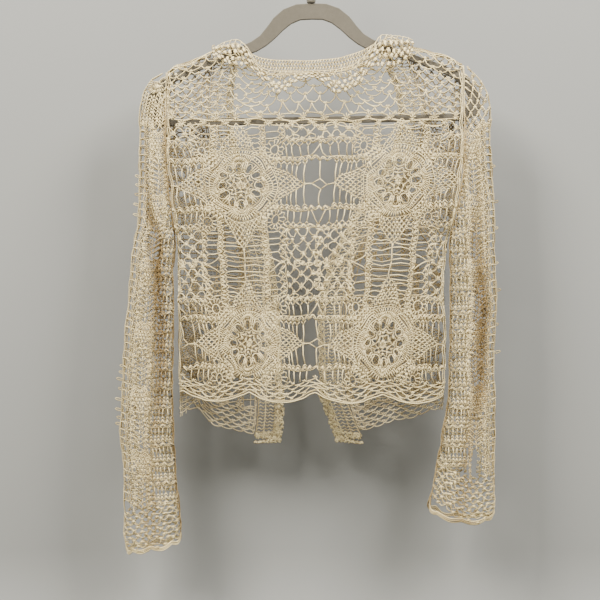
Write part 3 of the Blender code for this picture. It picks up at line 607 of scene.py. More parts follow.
@dataclass(frozen=True)
class DoilyMotif:
    """A square motif: a round net, a pineapple along each axis, and bars between them.

    A quarter is laid out about the axis to the right and turned into the other three.
    Distances ending in _at are places along that axis, and a band is a pair of
    distances beside it. A closed quarter's bars go on to the next motif.
    """

    half: float = 104.0
    pineapple: Pineapple = field(default_factory=Pineapple)
    fan_centre: float = 27.0
    eye: float = 1.7
    net_radii: tuple[float, ...] = (2.2, 7.6, 12.6, 18.6)
    net_count: int = 12
    knots: float = 23.6
    hole_outer: float = 31.6
    diagonal_chains: tuple[Pair, ...] = ((34.5, 11.5), (38.2, 13.0), (41.6, 15.0))
    diagonal_loops: tuple[Pair, ...] = ((42.5, 15.5), (47.4, 15.5), (52.0, 12.5))
    bars_at: tuple[float, ...] = (41.5, 48.4, 55.3, 61.5, 67.7, 75.0, 83.5)
    rungs_at: tuple[float, ...] = (41.5, 48.4, 55.3, 61.5, 67.7, 74.2, 80.9, 87.6, 94.3,
                                   100.8)
    second_at: tuple[float, ...] = (61.7, 69.8, 79.0, 89.5)
    first_band: Pair = (29.0, 35.4)
    second_band: Pair = (52.6, 58.6)
    eye_at: float = 94.5
    corner: float = 46.5
    corner_ring: float = 5.8
    corner_loop: Pair = (15.6, 9.7)

    def _centre(self, chart: Chart) -> None:
        """The round net: an eye, rings of loops, and the ring of large holes.

        Args:
            chart: chart that gets the strands.
        """
        chart.add(ring(self.eye, 7), Stitch.POST)
        for row, radius in enumerate(self.net_radii[:-1]):
            count = self.net_count // 2 if row < 2 else self.net_count
            part = 2 * math.pi / count
            angles = (np.arange(count) + 0.5 * (row % 2)) * part
            chart.add(bent(polar(radius, angles),
                           polar(self.net_radii[row + 1], angles + part / 2),
                           polar(radius, angles + part)), Stitch.CHAIN)
            chart.shells(polar(radius, angles), angles, 3.4, 1.4, 3)
        step = 2 * math.pi / self.net_count
        knots = (np.arange(self.net_count) + 0.5) * step
        ends = polar(self.knots, knots), polar(self.knots, knots + step)
        for via, stitch in ((self.net_radii[-1] - 0.4, Stitch.CHAIN),
                            (self.hole_outer, Stitch.POST)):
            chart.add(bent(ends[0], polar(via, knots + step / 2), ends[1], 6), stitch)
        for lean in (-0.11, 0.0, 0.11):
            chart.add(straight(polar(self.knots - 2.4, knots + lean),
                               polar(self.hole_outer + 0.6, knots + lean * 0.8)), Stitch.POST)
        chart.add(ring(self.hole_outer + 1.2, 37), Stitch.SCALE)

    def _bands(self, side: Chart, way: int, closed: bool) -> None:
        """Bars beside the pineapple, in two bands with a close row outside each.

        Args:
            side: chart of the quarter to the right.
            way: 1 for the bars below the pineapple's axis, -1 above it.
            closed: whether the bars go on to the next motif.
        """
        at = np.array(self.rungs_at if closed else self.bars_at)
        base = self.fan_centre + self.pineapple.post_outer
        tip = self.fan_centre + self.pineapple.tip
        foot = 1.2 + 24.5 * np.clip((tip - at) / (tip - base), 0, 1)
        foot[-1] = 1.0
        low, high = self.first_band
        near, far = self.second_band
        side.bars(across(at, way * foot), across(0 * at, way * (low - foot)),
                  bow=1.3 if closed else 0.5)
        nodes = np.append(at, [self.half + 1] if closed else [93.8, self.half])
        side.zigzag(across(nodes, way * low), (0, way * (high - low)))
        side.bars(across(np.array(self.second_at), way * high), (0, way * (near - high)))
        wide = np.array([57.0, 65.5, 74.0, 84.0, 95.0, self.half + 2])
        side.zigzag(across(wide, way * near), (0, way * (far - near)))
        side.add(bent(across([94.0], way * high), across([99.0], way * (high + 8.0)),
                      across([self.half], way * near), 4), Stitch.CHAIN)

    def _joint(self, side: Chart, closed: bool) -> None:
        """The spine, or the long eye, where the tip meets the next motif's.

        Args:
            side: chart of the quarter to the right.
            closed: whether it is the spine.
        """
        tip = across([self.fan_centre + self.pineapple.tip - 1], 0)
        if closed:
            side.add(straight(tip, across([self.half], 0), 5), Stitch.CHAIN)
            return
        side.add(straight(tip, across([self.eye_at], 0)), Stitch.CORD)
        for way in (-1, 1):
            side.add(straight(across([self.eye_at], 0), across([self.half], way * 6.3)),
                     Stitch.CHAIN)
        side.add(bent(across([self.half], 6.3), across([self.half - 0.8], 18.0),
                      across([self.half], self.first_band[0])), Stitch.CHAIN)

    def _diagonal(self) -> Chart:
        """Straight chains and shells between two fans, drawn to the right.

        Returns:
            The strands of one diagonal, with the ring in its corner.
        """
        side = Chart()
        for out, reach in self.diagonal_chains:
            side.add(straight(across([out], -reach), across([out], reach), 7),
                     Stitch.CHAIN)
        near, far, *_ = (out for out, _ in self.diagonal_chains)
        side.add(straight(across(near, evenly(-9, 9, 3.0)),
                          across(far, evenly(-10, 10, 3.3))), Stitch.POST)
        for out, reach in self.diagonal_loops:
            anchors = across(out, evenly(-reach, reach, 5.2))
            side.loops(anchors, 4.4)
            side.shells(anchors[1:-1], 0.0, 3.2, 1.3, 3)
        eye, rays = Chart(), np.arange(12) * math.pi / 6
        eye.add(ring(self.corner_ring, 12), Stitch.CHAIN)
        eye.add(straight(polar(6.2, rays), polar(11.5, rays + 0.12)), Stitch.POST)
        eye.add(bent(polar(11.0, rays), polar(13.6, rays + math.pi / 12),
                     polar(11.0, rays + math.pi / 6), 3), Stitch.SCALE)
        side.join(eye.moved(self.corner * math.sqrt(2), 0))
        return side

    def _corner_net(self, side: Chart) -> None:
        """Large loops and small shells in the corner, below and to the right.

        Args:
            side: chart of the quarter to the right.
        """
        pitch, height = self.corner_loop
        start = self.second_band[1] + 1.0
        for row in range(5):
            first = start - pitch / 2 * (row % 2)
            u = np.clip(np.arange(first, self.half + pitch, pitch), start - 1, self.half)
            anchors = across(u, start + row * height)
            side.waves(anchors, height * 0.94)
            side.shells(anchors, DOWN, 4.2, 2.2, 5)

    def chart(self) -> Chart:
        """Lay the whole motif out about its centre.

        Returns:
            The strands of its four quarters and of its round net.
        """
        whole = Chart()
        for number in range(4):
            quarter, closed = Chart(), number % 2 == 1
            quarter.join(self.pineapple.chart().moved(self.fan_centre, 0))
            for way in (-1, 1):
                self._bands(quarter, way, closed)
            self._joint(quarter, closed)
            quarter.join(self._diagonal().turned(math.pi / 4))
            self._corner_net(quarter)
            whole.join(quarter.turned(number * math.pi / 2))
        self._centre(whole)
        return whole


# ---- cloths in place


@dataclass(frozen=True)
class Crumple:
    """Soft unevenness of hand-made lace, as sums of long sine waves."""

    shift: float = 0.8
    relief: float = 1.1
    seed: int = 1

    def shifted(self, flat: Array) -> Array:
        """Move flat points a little, all alike where they lie close together.

        Args:
            flat: flat points, (..., 2).

        Returns:
            The moved points, each way by the shift times a sum of three sines.
        """
        u, v, k = flat[..., 0], flat[..., 1], self.seed
        du = np.sin(v / 5.3 + 1.7 * k) + np.sin(u / 7.9 + v / 11 + k) + np.sin(u / 3.1 - k)
        dv = np.sin(u / 5.9 + 2.3 * k) + np.sin(v / 8.3 - u / 13 + k) + np.sin(v / 3.7 + k)
        return flat + self.shift * 0.6 * np.stack([du, dv], axis=-1)

    def height(self, flat: Array) -> Array:
        """How far the cloth stands out at flat points.

        Args:
            flat: flat points, (..., 2).

        Returns:
            Half the relief times a sum of four sines, (...).
        """
        u, v, k = flat[..., 0], flat[..., 1], self.seed
        waves = (np.sin(u / 6.1 + v / 17 + k) + np.sin(v / 7.3 - u / 23 + 2 * k)
                 + 0.7 * np.sin((u + v) / 11.7 + 3 * k) + 0.5 * np.sin(u / 2.3 + v / 3.1))
        return self.relief * 0.5 * waves


class Cloth(ABC):
    """A sheet of cloth that bends flat lace into the place where it hangs."""

    facing: int = -1
    crumple: Crumple = Crumple()

    @abstractmethod
    def place(self, flat: Array) -> Array:
        """Place flat points, (..., 2), in space, (..., 3), in millimetres."""

    @abstractmethod
    def clamped(self, flat: Array) -> Array:
        """Flat points moved onto the sheet's edge where they lie beyond it."""

    def painted_fold_shade(self, flat: Array) -> Array:
        """Painted fold shade at each point, from 0 to 1; none on a plain cloth."""
        return np.zeros(flat.shape[:-1])

    def normals(self, flat: Array) -> Array:
        """Ways that the cloth faces: the cross product of its two slopes.

        Args:
            flat: flat points, (..., 2).

        Returns:
            Unit vectors, (..., 3).
        """
        step = 0.6
        along = self.place(flat + (step, 0)) - self.place(flat - (step, 0))
        down = self.place(flat + (0, step)) - self.place(flat - (0, step))
        return self.facing * unit(np.cross(along, down))


def on_shoulder(x: Array) -> Array:
    """Rise from 0 at the neck to 1 where the hanger's arm is under the cloth."""
    return smooth_step((np.abs(x - 2) - 84) / 12)


def shoulder_line(x: Array) -> Array:
    """Drop of the shoulder line."""
    return np.where(x < 0, SHOULDERS[Side.LEFT].at("drop", x, "x"),
                    SHOULDERS[Side.RIGHT].at("drop", x, "x"))


def neckline(x: Array) -> Array:
    """Drop of the back's neck edge, below the collar band."""
    return NECK.at("drop", x, "x") + BAND_HEIGHT + 0.6


def back_hem(x: Array) -> Array:
    """Drop of the back's hem: scallops as the size of a sine, on a slight slope."""
    return 597.5 + 12.0 * np.abs(np.sin(np.pi * (x - 6.6) / 88.0)) + 0.012 * x


def fold_depth(sleeve: Table, drop: Array) -> Array:
    """Half the gap between a sleeve's halves, wider over its flat head."""
    return 0.6 + 0.7 * np.exp(-np.maximum(drop - sleeve.first("drop"), 0) / 25.0)


def armhole_depth(sleeve: Table, drop: Array) -> Array:
    """Depth of the edge that sleeve and body share."""
    turned = np.sin(np.pi * sleeve.at("turn", drop))
    return fold_depth(sleeve, drop) + sleeve.at("depth", drop) * turned


def body_place(x: Array, drop: Array, layer: Layer) -> Array:
    """Place points of the body.

    The depth goes from the side edges' to the middle's as 1 less the fourth power of
    the way across, soft ridges and troughs are added, and the cloth comes together
    over the hanger's arms.

    Args:
        x: places across the body.
        drop: distances below the hook.
        layer: the back or the fronts.

    Returns:
        Points in millimetres, (..., 3).
    """
    left, right = BODY.at("left", drop), BODY.at("right", drop)
    share = np.clip(2 * (x - left) / (right - left) - 1, -1, 1)
    edge = (np.maximum(armhole_depth(SLEEVES[Side.LEFT], drop), CLOSED_DEPTH) * (1 - share)
            + np.maximum(armhole_depth(SLEEVES[Side.RIGHT], drop), CLOSED_DEPTH)
            * (1 + share)) / 2
    middle = BODY.at(layer.name.lower(), drop)
    swell = 1 - share ** 4
    folds = np.zeros_like(swell)
    for place, top, width, depth in zip(*BODY_FOLDS[layer].columns.values()):
        growth = smooth_step((drop - top) / 130.0)
        folds = folds + depth * growth * np.exp(-((x - place) / width) ** 2)
    depth = edge + (middle - edge + folds) * swell
    pinch = on_shoulder(x) * np.exp(-np.maximum(drop - shoulder_line(x), 0) / PINCH_FALL)
    depth = CLOSED_DEPTH + (depth - CLOSED_DEPTH) * (1 - pinch)
    return np.stack([x, layer.value * depth, -drop], axis=-1)


class BodyCloth(Cloth):
    """A layer of the body."""

    layer: Layer = Layer.BACK

    def place(self, flat: Array) -> Array:
        """Place points given across and down."""
        return body_place(flat[..., 0], flat[..., 1], self.layer)


class BackCloth(BodyCloth):
    """The back of the body, from shoulders and neck down to its scalloped hem."""

    crumple = Crumple(shift=1.5, seed=2)

    def top(self, x: Array) -> Array:
        """Drop of the upper edge: the shoulder lines and the neck between them.

        Args:
            x: places across the back.

        Returns:
            Drops, shaped like x.
        """
        neck = neckline(np.clip(x, -84, 85))
        low = np.clip((x + 97) / 13, 0, 1) * np.clip((100 - x) / 15, 0, 1)
        return shoulder_line(x) * (1 - low) + neck * low

    def clamped(self, flat: Array) -> Array:
        """Points brought inside the seams and the hem.

        Args:
            flat: flat points, (..., 2).

        Returns:
            The points, none of them beyond the back's edges.
        """
        x, drop = flat[..., 0], flat[..., 1]
        drop = np.clip(drop, self.top(x) + 1.0, back_hem(x) - HEM_INSET)
        return across(np.clip(x, BODY.at("left", drop) + SEAM_INSET,
                              BODY.at("right", drop) - SEAM_INSET), drop)


@dataclass
class FrontCloth(BodyCloth):
    """One front, from the shoulder to its hem, between its side and its edging."""

    side: Side
    facing: int = 1
    layer: Layer = Layer.FRONT

    def __post_init__(self) -> None:
        """Give each front its own unevenness."""
        self.crumple = Crumple(seed=5 if self.side is Side.LEFT else 7)

    def sewn(self, drop: Array) -> Array:
        """Place of the line where the edging is sewn on."""
        width = EDGING_WIDTH + EDGING_SEAM
        return OPENINGS[self.side].at("x", drop) + self.side.value * width

    def hem(self, x: Array) -> Array:
        """Drop of the hem."""
        return FRONT_HEMS[self.side].at("drop", x, "x")

    def clamped(self, flat: Array) -> Array:
        """Points brought inside the seams and the hem.

        Args:
            flat: flat points, (..., 2).

        Returns:
            The points, none of them beyond the front's edges.
        """
        x, drop = flat[..., 0], flat[..., 1]
        drop = np.clip(drop, shoulder_line(x) + 1.0, self.hem(x) - HEM_INSET)
        outer = BODY.at(self.side.column, drop) - self.side.value * SEAM_INSET
        inner = self.sewn(drop) + self.side.value * SEAM_INSET
        return across(np.clip(x, np.minimum(outer, inner), np.maximum(outer, inner)), drop)


@dataclass
class SleeveCloth(Cloth):
    """Half of a sleeve; across is the way round from its outer fold to its inner.

    The cuff is given by its outer and its inner drop, its sag and its scallops' depth.
    """

    side: Side
    layer: Layer
    cuff: tuple[float, float, float, float]

    def __post_init__(self) -> None:
        """Face outwards, and give each half its own unevenness."""
        self.facing = self.layer.value * -self.side.value
        self.crumple = Crumple(seed=11 + 3 * self.side.value + self.layer.value)
        self.table = SLEEVES[self.side]

    def inner(self, drop: Array) -> Array:
        """Place of the inner edge: beside the armhole above, its own fold below.

        Args:
            drop: distances below the hook.

        Returns:
            Places across the body, shaped like drop.
        """
        rounding = 1.2 * (2 * self.table.at("turn", drop) - 1)
        beside = BODY.at(self.side.column, drop) + self.side.value * (0.7 + rounding)
        return np.where(drop < UNDERARM, beside, self.table.at("inner", drop))

    def place(self, flat: Array) -> Array:
        """Place points: an arc of the sleeve's section, with one deep fold down it.

        Args:
            flat: points as the way round and the drop, (..., 2).

        Returns:
            Points in millimetres, (..., 3).
        """
        share, drop = flat[..., 0] / HALF_GIRTH, flat[..., 1]
        outer, turn = self.table.at("outer", drop), self.table.at("turn", drop)
        angle = np.pi * turn * share
        x = outer + (self.inner(drop) - outer) * (1 - np.cos(angle)) / (
            1 - np.cos(np.pi * turn))
        top = SHOULDERS[self.side].columns["drop"][0 if self.side is Side.LEFT else -1]
        pinch = np.exp(-np.maximum(drop - top, 0) / PINCH_FALL)
        swell = self.table.at("depth", drop) * np.sin(angle) * (1 - pinch)
        shallow = 1.0 if self.layer is Layer.BACK else FRONT_CHANNEL
        channel = self.table.at("channel", drop) * shallow
        groove = np.exp(-((share - self.table.at("place", drop)) / 0.085) ** 2)
        depth = fold_depth(self.table, drop) + swell - channel * groove
        return np.stack([x, self.layer.value * depth, -drop], axis=-1)

    def painted_fold_shade(self, flat: Array) -> Array:
        """Painted shade down the sleeve's long fold and next to the body, from 0 to 1.

        Args:
            flat: points as the way round and the drop, (..., 2).

        Returns:
            The painted shade, darkest deep in the fold and next to the body, (...).
        """
        share, drop = flat[..., 0] / HALF_GIRTH, flat[..., 1]
        # Painted shade: darkest deep in the long fold, and half as dark on the inner part next
        # to the body below the armhole.
        groove = np.exp(-((share - self.table.at("place", drop)) / 0.11) ** 2)
        seam = np.clip((share - 0.86) / 0.14, 0, 1) * smooth_step((drop - 190) / 60)
        return np.clip(groove * self.table.at("channel", drop) / 14 + 0.5 * seam, 0, 0.85)

    def carried(self, chart: Chart) -> Chart:
        """Carry a chart laid out as seen, from the outer fold inwards, onto the cloth.

        The way round is the angle whose cosine falls evenly with the way seen.

        Args:
            chart: strands in millimetres across, as seen, and down.

        Returns:
            The strands in millimetres round and down.
        """
        moved = Chart()
        for strands, stitch in chart.batches:
            seen, drop = strands[..., 0], strands[..., 1]
            turn = np.pi * self.table.at("turn", drop)
            wide = np.abs(self.inner(drop) - self.table.at("outer", drop))
            share = np.arccos(np.clip(1 - seen / wide * (1 - np.cos(turn)), -1, 1)) / turn
            over = np.maximum(seen - wide, 0) + np.minimum(seen, 0)
            moved.add(across(share * HALF_GIRTH + 3 * over, drop), stitch)
        return moved

    def hem(self, along: Array) -> Array:
        """Drop of the cuff's scalloped hem: a slope, a sagging sine and small ones.

        Args:
            along: ways round from the outer fold.

        Returns:
            Drops, shaped like along.
        """
        share = along / HALF_GIRTH
        outer, inner, sag, scallop = self.cuff
        return (outer + (inner - outer) * share + sag * np.sin(np.pi * share)
                + scallop * np.abs(np.sin(np.pi * 4 * share)))

    def clamped(self, flat: Array) -> Array:
        """Points brought inside the folds, the head and the cuff.

        Args:
            flat: flat points, (..., 2).

        Returns:
            The points, none of them beyond.
        """
        along = np.clip(flat[..., 0], 0.5, HALF_GIRTH - 0.5)
        return across(along, np.clip(flat[..., 1], self.table.first("drop") + HEM_INSET,
                                     self.hem(along) - HEM_INSET))


class BandCloth(Cloth):
    """The collar band; down is the way from its top edge to the back's neck edge."""

    crumple = Crumple(shift=0.3, relief=0.3)

    def place(self, flat: Array) -> Array:
        """Place points just behind the line of the neck.

        Args:
            flat: flat points, (..., 2).

        Returns:
            Points in millimetres, (..., 3).
        """
        x, down = flat[..., 0], flat[..., 1]
        point = body_place(x, NECK.at("drop", x, "x") + down, Layer.BACK)
        depth = body_place(x, neckline(x), Layer.BACK)[..., 1]
        point[..., 1] = depth + 0.6 * (down / BAND_HEIGHT - 1)
        return point

    def clamped(self, flat: Array) -> Array:
        """Points brought inside the band."""
        return across(np.clip(flat[..., 0], *BAND_ENDS),
                      np.clip(flat[..., 1], 0, BAND_HEIGHT))


class RuffleCloth(Cloth):
    """The collar's ruffle; down is the share of the way to its free edge, as 0 to 100."""

    crumple = Crumple(shift=0.3, relief=0.5)
    wave: float = 20.0

    def place(self, flat: Array) -> Array:
        """Place points: the ruffle hangs clear of the back and flares in waves.

        Args:
            flat: points across, and down as a share, (..., 2).

        Returns:
            Points in millimetres, (..., 3).
        """
        x, share = flat[..., 0], flat[..., 1] / 100
        upper, lower = RUFFLE.at("upper", x, "x"), RUFFLE.at("lower", x, "x")
        drop = upper + (lower - upper) * share
        wave = 0.5 - 0.5 * np.cos(2 * np.pi * (x - RUFFLE.first("x")) / self.wave)
        rest = np.maximum(drop, shoulder_line(x) + 10.0)
        clear = body_place(x, rest, Layer.BACK)[..., 1]
        hang = clear - 4.4 - 5.5 * share * (0.35 + 0.65 * wave)
        over = on_shoulder(x) * np.clip(1 - share / 0.4, 0, 1)
        point = body_place(x, drop, Layer.BACK)
        point[..., 1] = hang * (1 - over) - 2.8 * over
        return point

    def clamped(self, flat: Array) -> Array:
        """Points brought inside the ruffle."""
        return across(np.clip(flat[..., 0], -128.6, 136.6), np.clip(flat[..., 1], 0, 107))


@dataclass
class EdgingCloth(Cloth):
    """A front's edging; across is the way from its seam to its free edge."""

    side: Side
    curl: float = 9.0

    def __post_init__(self) -> None:
        """Face outwards."""
        self.facing = -self.side.value
        self.crumple = Crumple(shift=0.4, relief=0.6, seed=9)

    def place(self, flat: Array) -> Array:
        """Place points; the free edge rolls outwards as the square of the way to it.

        Args:
            flat: flat points, (..., 2).

        Returns:
            Points in millimetres, (..., 3).
        """
        way, drop = flat[..., 0], flat[..., 1]
        free = OPENINGS[self.side].at("x", drop)
        point = body_place(free + self.side.value * (EDGING_WIDTH - way), drop, Layer.FRONT)
        share = way / EDGING_WIDTH
        point[..., 1] += self.curl * share ** 2 * smooth_step((drop - 150) / 120)
        return point

    def clamped(self, flat: Array) -> Array:
        """Points brought inside the edging, but for its scallops.

        Args:
            flat: flat points, (..., 2).

        Returns:
            The points, none of them beyond.
        """
        table = OPENINGS[self.side]
        return across(np.clip(flat[..., 0], 0.4, EDGING_WIDTH + 3),
                      np.clip(flat[..., 1], table.first("drop") + 3, table.last("drop")))


# ---- yarn meshes


def run_along(points: Array) -> Array:
    """Length from each strand's start to each of its points."""
    steps = np.linalg.norm(np.diff(points, axis=1), axis=-1)
    return np.concatenate([np.zeros((len(points), 1)), np.cumsum(steps, axis=1)], axis=1)


def respaced(points: Array) -> Array:
    """Space each strand's points evenly along its length.

    Args:
        points: strands, (strands, points, 2).

    Returns:
        As many points, on the same lines.
    """
    run = run_along(points)
    wanted = np.linspace(0, 1, points.shape[1])[None] * run[:, -1:]
    index = (run[:, None, :-1] <= wanted[:, :, None]).sum(axis=-1) - 1
    index = np.clip(index, 0, points.shape[1] - 2)
    rows = np.arange(len(points))[:, None]
    span = np.maximum(run[rows, index + 1] - run[rows, index], 1e-9)
    share = ((wanted - run[rows, index]) / span)[..., None]
    return points[rows, index] * (1 - share) + points[rows, index + 1] * share


@dataclass
class YarnMesh:
    """A mesh of round yarns swept along strands, four-sided and closed at both ends."""

    name: str
    cloth: Cloth
    seed: int
    sides: int = 4
    shortest: float = 1.4
    furthest: float = 4.0
    dark_strand: float = 0.36
    # Painted shade: this value darkens each yarn's sides in colour, as if shaded; dark_strand
    # is each strand's random dark tone.
    painted_rim_shade: float = 0.85

    def __post_init__(self) -> None:
        """Start with nothing swept."""
        self.rng = np.random.default_rng(self.seed)
        self.points: list[Array] = []
        self.faces: list[Array] = []
        self.coords: list[Array] = []
        self.tones_and_painted_shade: list[Array] = []
        self.total = 0

    def work(self, chart: Chart) -> None:
        """Bend a chart's strands into place and sweep a yarn along each.

        A strand that mostly lies beyond the cloth is left out.

        Args:
            chart: strands on the flat.
        """
        for strands, stitch in chart.batches:
            uneven = self.cloth.crumple.shifted(strands)
            inside = self.cloth.clamped(uneven)
            moved = np.linalg.norm(inside - uneven, axis=-1).mean(axis=1)
            inside = respaced(inside)
            keep = (moved < self.furthest) & (run_along(inside)[:, -1] > self.shortest)
            if not keep.any():
                continue
            flat = inside[keep]
            out = self.cloth.normals(flat)
            lift = stitch.lift + self.cloth.crumple.height(flat)
            lift = lift + self.rng.uniform(-0.3, 0.3, len(flat))[:, None]
            place = self.cloth.place(flat) + out * lift[..., None]
            self.sweep(place, out, stitch.radius, self.cloth.painted_fold_shade(flat))

    def sweep(self, path: Array, out: Array, radius: float, shade: Array) -> None:
        """Carry a round section along each strand.

        A corner of the section is the path's point plus the radius times the cosine
        of its angle along the side way and its sine along the upward way.

        Args:
            path: strands in millimetres, (strands, points, 3).
            out: ways that the cloth faces at those points.
            radius: radius of the yarn.
            shade: painted fold shade at each point, from 0 to 1.
        """
        strands, count = path.shape[:2]
        ahead = unit(np.gradient(path, axis=1))
        side = unit(np.cross(ahead, out))
        up = np.cross(side, ahead)
        angles = 2 * np.pi * np.arange(self.sides) / self.sides
        thick = radius * self.rng.uniform(0.88, 1.1, (strands, 1, 1, 1))
        ring_ways = (np.cos(angles)[:, None] * side[:, :, None]
                     + np.sin(angles)[:, None] * up[:, :, None])
        corners = path[:, :, None] + thick * ring_ways
        index = self.total + np.arange(strands * count * self.sides).reshape(
            strands, count, self.sides)
        turn = np.roll(index, -1, axis=2)
        walls = np.stack([index[:, :-1], index[:, 1:], turn[:, 1:], turn[:, :-1]], axis=-1)
        caps = np.stack([index[:, 0], index[:, -1, ::-1]], axis=1)
        start = self.rng.uniform(0, 40, (strands, 1))
        u = (run_along(path) + start)[:, :, None] * MM + np.zeros(self.sides)
        v = np.arange(self.sides) / self.sides + np.zeros((strands, count, 1))
        v_next = v + 1 / self.sides
        wall_uv = np.stack([np.stack([u[:, :-1], u[:, 1:], u[:, 1:], u[:, :-1]], axis=-1),
                            np.stack([v[:, :-1], v[:, 1:], v_next[:, 1:], v_next[:, :-1]],
                                     axis=-1)], axis=-1)
        cap_u = np.stack([u[:, 0], u[:, -1]], axis=1)
        cap_uv = np.stack([cap_u, np.broadcast_to(v[:, :1], cap_u.shape)], axis=-1)
        self.points.append(corners.reshape(-1, 3))
        self.faces += [walls.reshape(-1, 4), caps.reshape(-1, 4)]
        self.coords += [wall_uv.reshape(-1, 2), cap_uv.reshape(-1, 2)]
        # Tone: each strand's random dark, plus the painted fold shade.
        tone = self.dark_strand * self.rng.uniform(0, 1, (strands, 1)) ** 1.6 + shade
        # Painted shade: the side corners of each yarn's section are darkened in colour, as the
        # shaded flanks of a round yarn.
        rim = self.painted_rim_shade * np.abs(np.cos(angles))
        self.tones_and_painted_shade.append((tone[..., None] + rim).ravel())
        self.total += strands * count * self.sides

    def finish(self, material: Material) -> Item:
        """Put the swept yarns into one mesh object.

        Args:
            material: finish of the yarn.

        Returns:
            The new object, at the origin.
        """
        faces = np.concatenate(self.faces).astype(np.int32)
        mesh = bpy.data.meshes.new(self.name)
        mesh.vertices.add(self.total)
        mesh.vertices.foreach_set("co", (np.concatenate(self.points) * MM).ravel())
        mesh.loops.add(faces.size)
        mesh.loops.foreach_set("vertex_index", faces.ravel())
        mesh.polygons.add(len(faces))
        mesh.polygons.foreach_set("loop_start", np.arange(0, faces.size, 4, dtype=np.int32))
        layer = mesh.uv_layers.new(name="yarn")
        layer.data.foreach_set("uv", np.concatenate(self.coords).ravel())
        # The tone attribute holds each strand's random dark plus painted shade on the yarn's
        # sides and in folds.
        tone = mesh.attributes.new("tone", "FLOAT", "POINT")
        tone.data.foreach_set("value", np.concatenate(self.tones_and_painted_shade).astype(np.float32))
        mesh.update(calc_edges=True)
        mesh.shade_smooth()
        mesh.materials.append(material)
        LOG.info("%s: %d triangles", self.name, 2 * len(faces))
        return put(self.name, mesh)


# ---- finishes


@dataclass(frozen=True)
class Recipe:
    """The nodes of one finish, or of a group that several finishes share."""

    tree: Tree

    def feed(self, target: Socket, value: Socket | float | Triple) -> None:
        """Feed a socket from another socket, or give it a number or a colour.

        Args:
            target: socket to feed.
            value: what feeds it.
        """
        if isinstance(value, bpy.types.NodeSocket):
            self.tree.links.new(value, target)
        else:
            target.default_value = (*value, 1.0) if isinstance(value, tuple) else value

    def fill(self, node: Node, inputs: dict[str | int, Socket | float | Triple]) -> Node:
        """Feed a node's named or numbered inputs, and return the node.

        Args:
            node: the node to feed.
            inputs: what feeds each input.

        Returns:
            The node.
        """
        for name, value in inputs.items():
            self.feed(node.inputs[name], value)
        return node

    def add(self, kind: str, **inputs: Socket | float) -> Node:
        """Add a shader node of a kind and feed its named inputs."""
        return self.fill(self.tree.nodes.new(f"ShaderNode{kind}"), inputs)

    def maths(self, operation: str, first: Socket | float,
              second: Socket | float | None = None) -> Socket:
        """Add a Math node.

        Args:
            operation: its operation.
            first, second: sockets or numbers for its inputs.

        Returns:
            Its output.
        """
        node = self.add("Math")
        node.operation = operation
        given = {0: first} if second is None else {0: first, 1: second}
        return self.fill(node, given).outputs[0]

    def noise(self, vector: Socket, scale: Socket | float, detail: float = 2.0) -> Socket:
        """Add a noise texture and return its value."""
        return self.add("TexNoise", Vector=vector, Scale=scale, Detail=detail).outputs["Fac"]

    def blend(self, share: Socket, first: Socket | Triple, second: Socket | Triple
              ) -> Socket:
        """Mix two colours.

        Args:
            share: share of the second colour.
            first, second: the colours, each a socket or three numbers.

        Returns:
            The mixed colour.
        """
        node = self.add("Mix")
        node.data_type = "RGBA"
        return self.fill(node, {0: share, 6: first, 7: second}).outputs[2]

    def bump(self, height: Socket, distance: float) -> Socket:
        """Add a bump node and return its normal."""
        return self.add("Bump", Height=height, Distance=distance).outputs["Normal"]

    def group(self, tree: Tree, vector: Socket, **values: float) -> Node:
        """Place a shared group with its own values.

        Args:
            tree: the group's tree.
            vector: coordinates that it reads.
            values: numbers for its other inputs.

        Returns:
            The group's node.
        """
        node = self.add("Group")
        node.node_tree = tree
        return self.fill(node, {"Vector": vector, **values})

    def object_place(self) -> Socket:
        """Object coordinates."""
        return self.add("TexCoord").outputs["Object"]

    def split(self, vector: Socket) -> bpy.types.bpy_prop_collection:
        """Split a vector into its X, Y and Z outputs."""
        return self.fill(self.add("SeparateXYZ"), {0: vector}).outputs


def shared_group(name: str, inputs: tuple[str, ...], outputs: tuple[str, ...]
                 ) -> tuple[Recipe, Node, Node]:
    """Make a shader node group.

    Args:
        name: its name.
        inputs: names of its inputs after Vector, each a number.
        outputs: names of its number outputs.

    Returns:
        Its nodes, its input node and its output node.
    """
    tree = bpy.data.node_groups.new(name, "ShaderNodeTree")
    tree.interface.new_socket("Vector", in_out="INPUT", socket_type="NodeSocketVector")
    for way, names in (("INPUT", inputs), ("OUTPUT", outputs)):
        for socket in names:
            tree.interface.new_socket(socket, in_out=way, socket_type="NodeSocketFloat")
    return Recipe(tree), tree.nodes.new("NodeGroupInput"), tree.nodes.new("NodeGroupOutput")


def plied_yarn_group() -> Tree:
    """Group for plied cotton: the twist's ridges and the fuzz, from a yarn's own UV.

    A ridge is the size of the sine of half the turn that the plies have made.

    Returns:
        The group's tree.
    """
    nodes, given, out = shared_group("plied_yarn", ("Pitch", "Plies"), ("Ridge", "Fuzz"))
    place = nodes.split(given.outputs["Vector"])
    along = nodes.maths("DIVIDE", place["X"], given.outputs["Pitch"])
    around = nodes.maths("MULTIPLY", place["Y"], given.outputs["Plies"])
    phase = nodes.maths("MULTIPLY", nodes.maths("ADD", along, around), 2 * math.pi)
    ridge = nodes.maths("ABSOLUTE", nodes.maths("SINE", nodes.maths("MULTIPLY", phase, 0.5)))
    nodes.fill(out, {"Ridge": ridge, "Fuzz": nodes.noise(given.outputs["Vector"], 2600.0, 3.0)})
    return nodes.tree


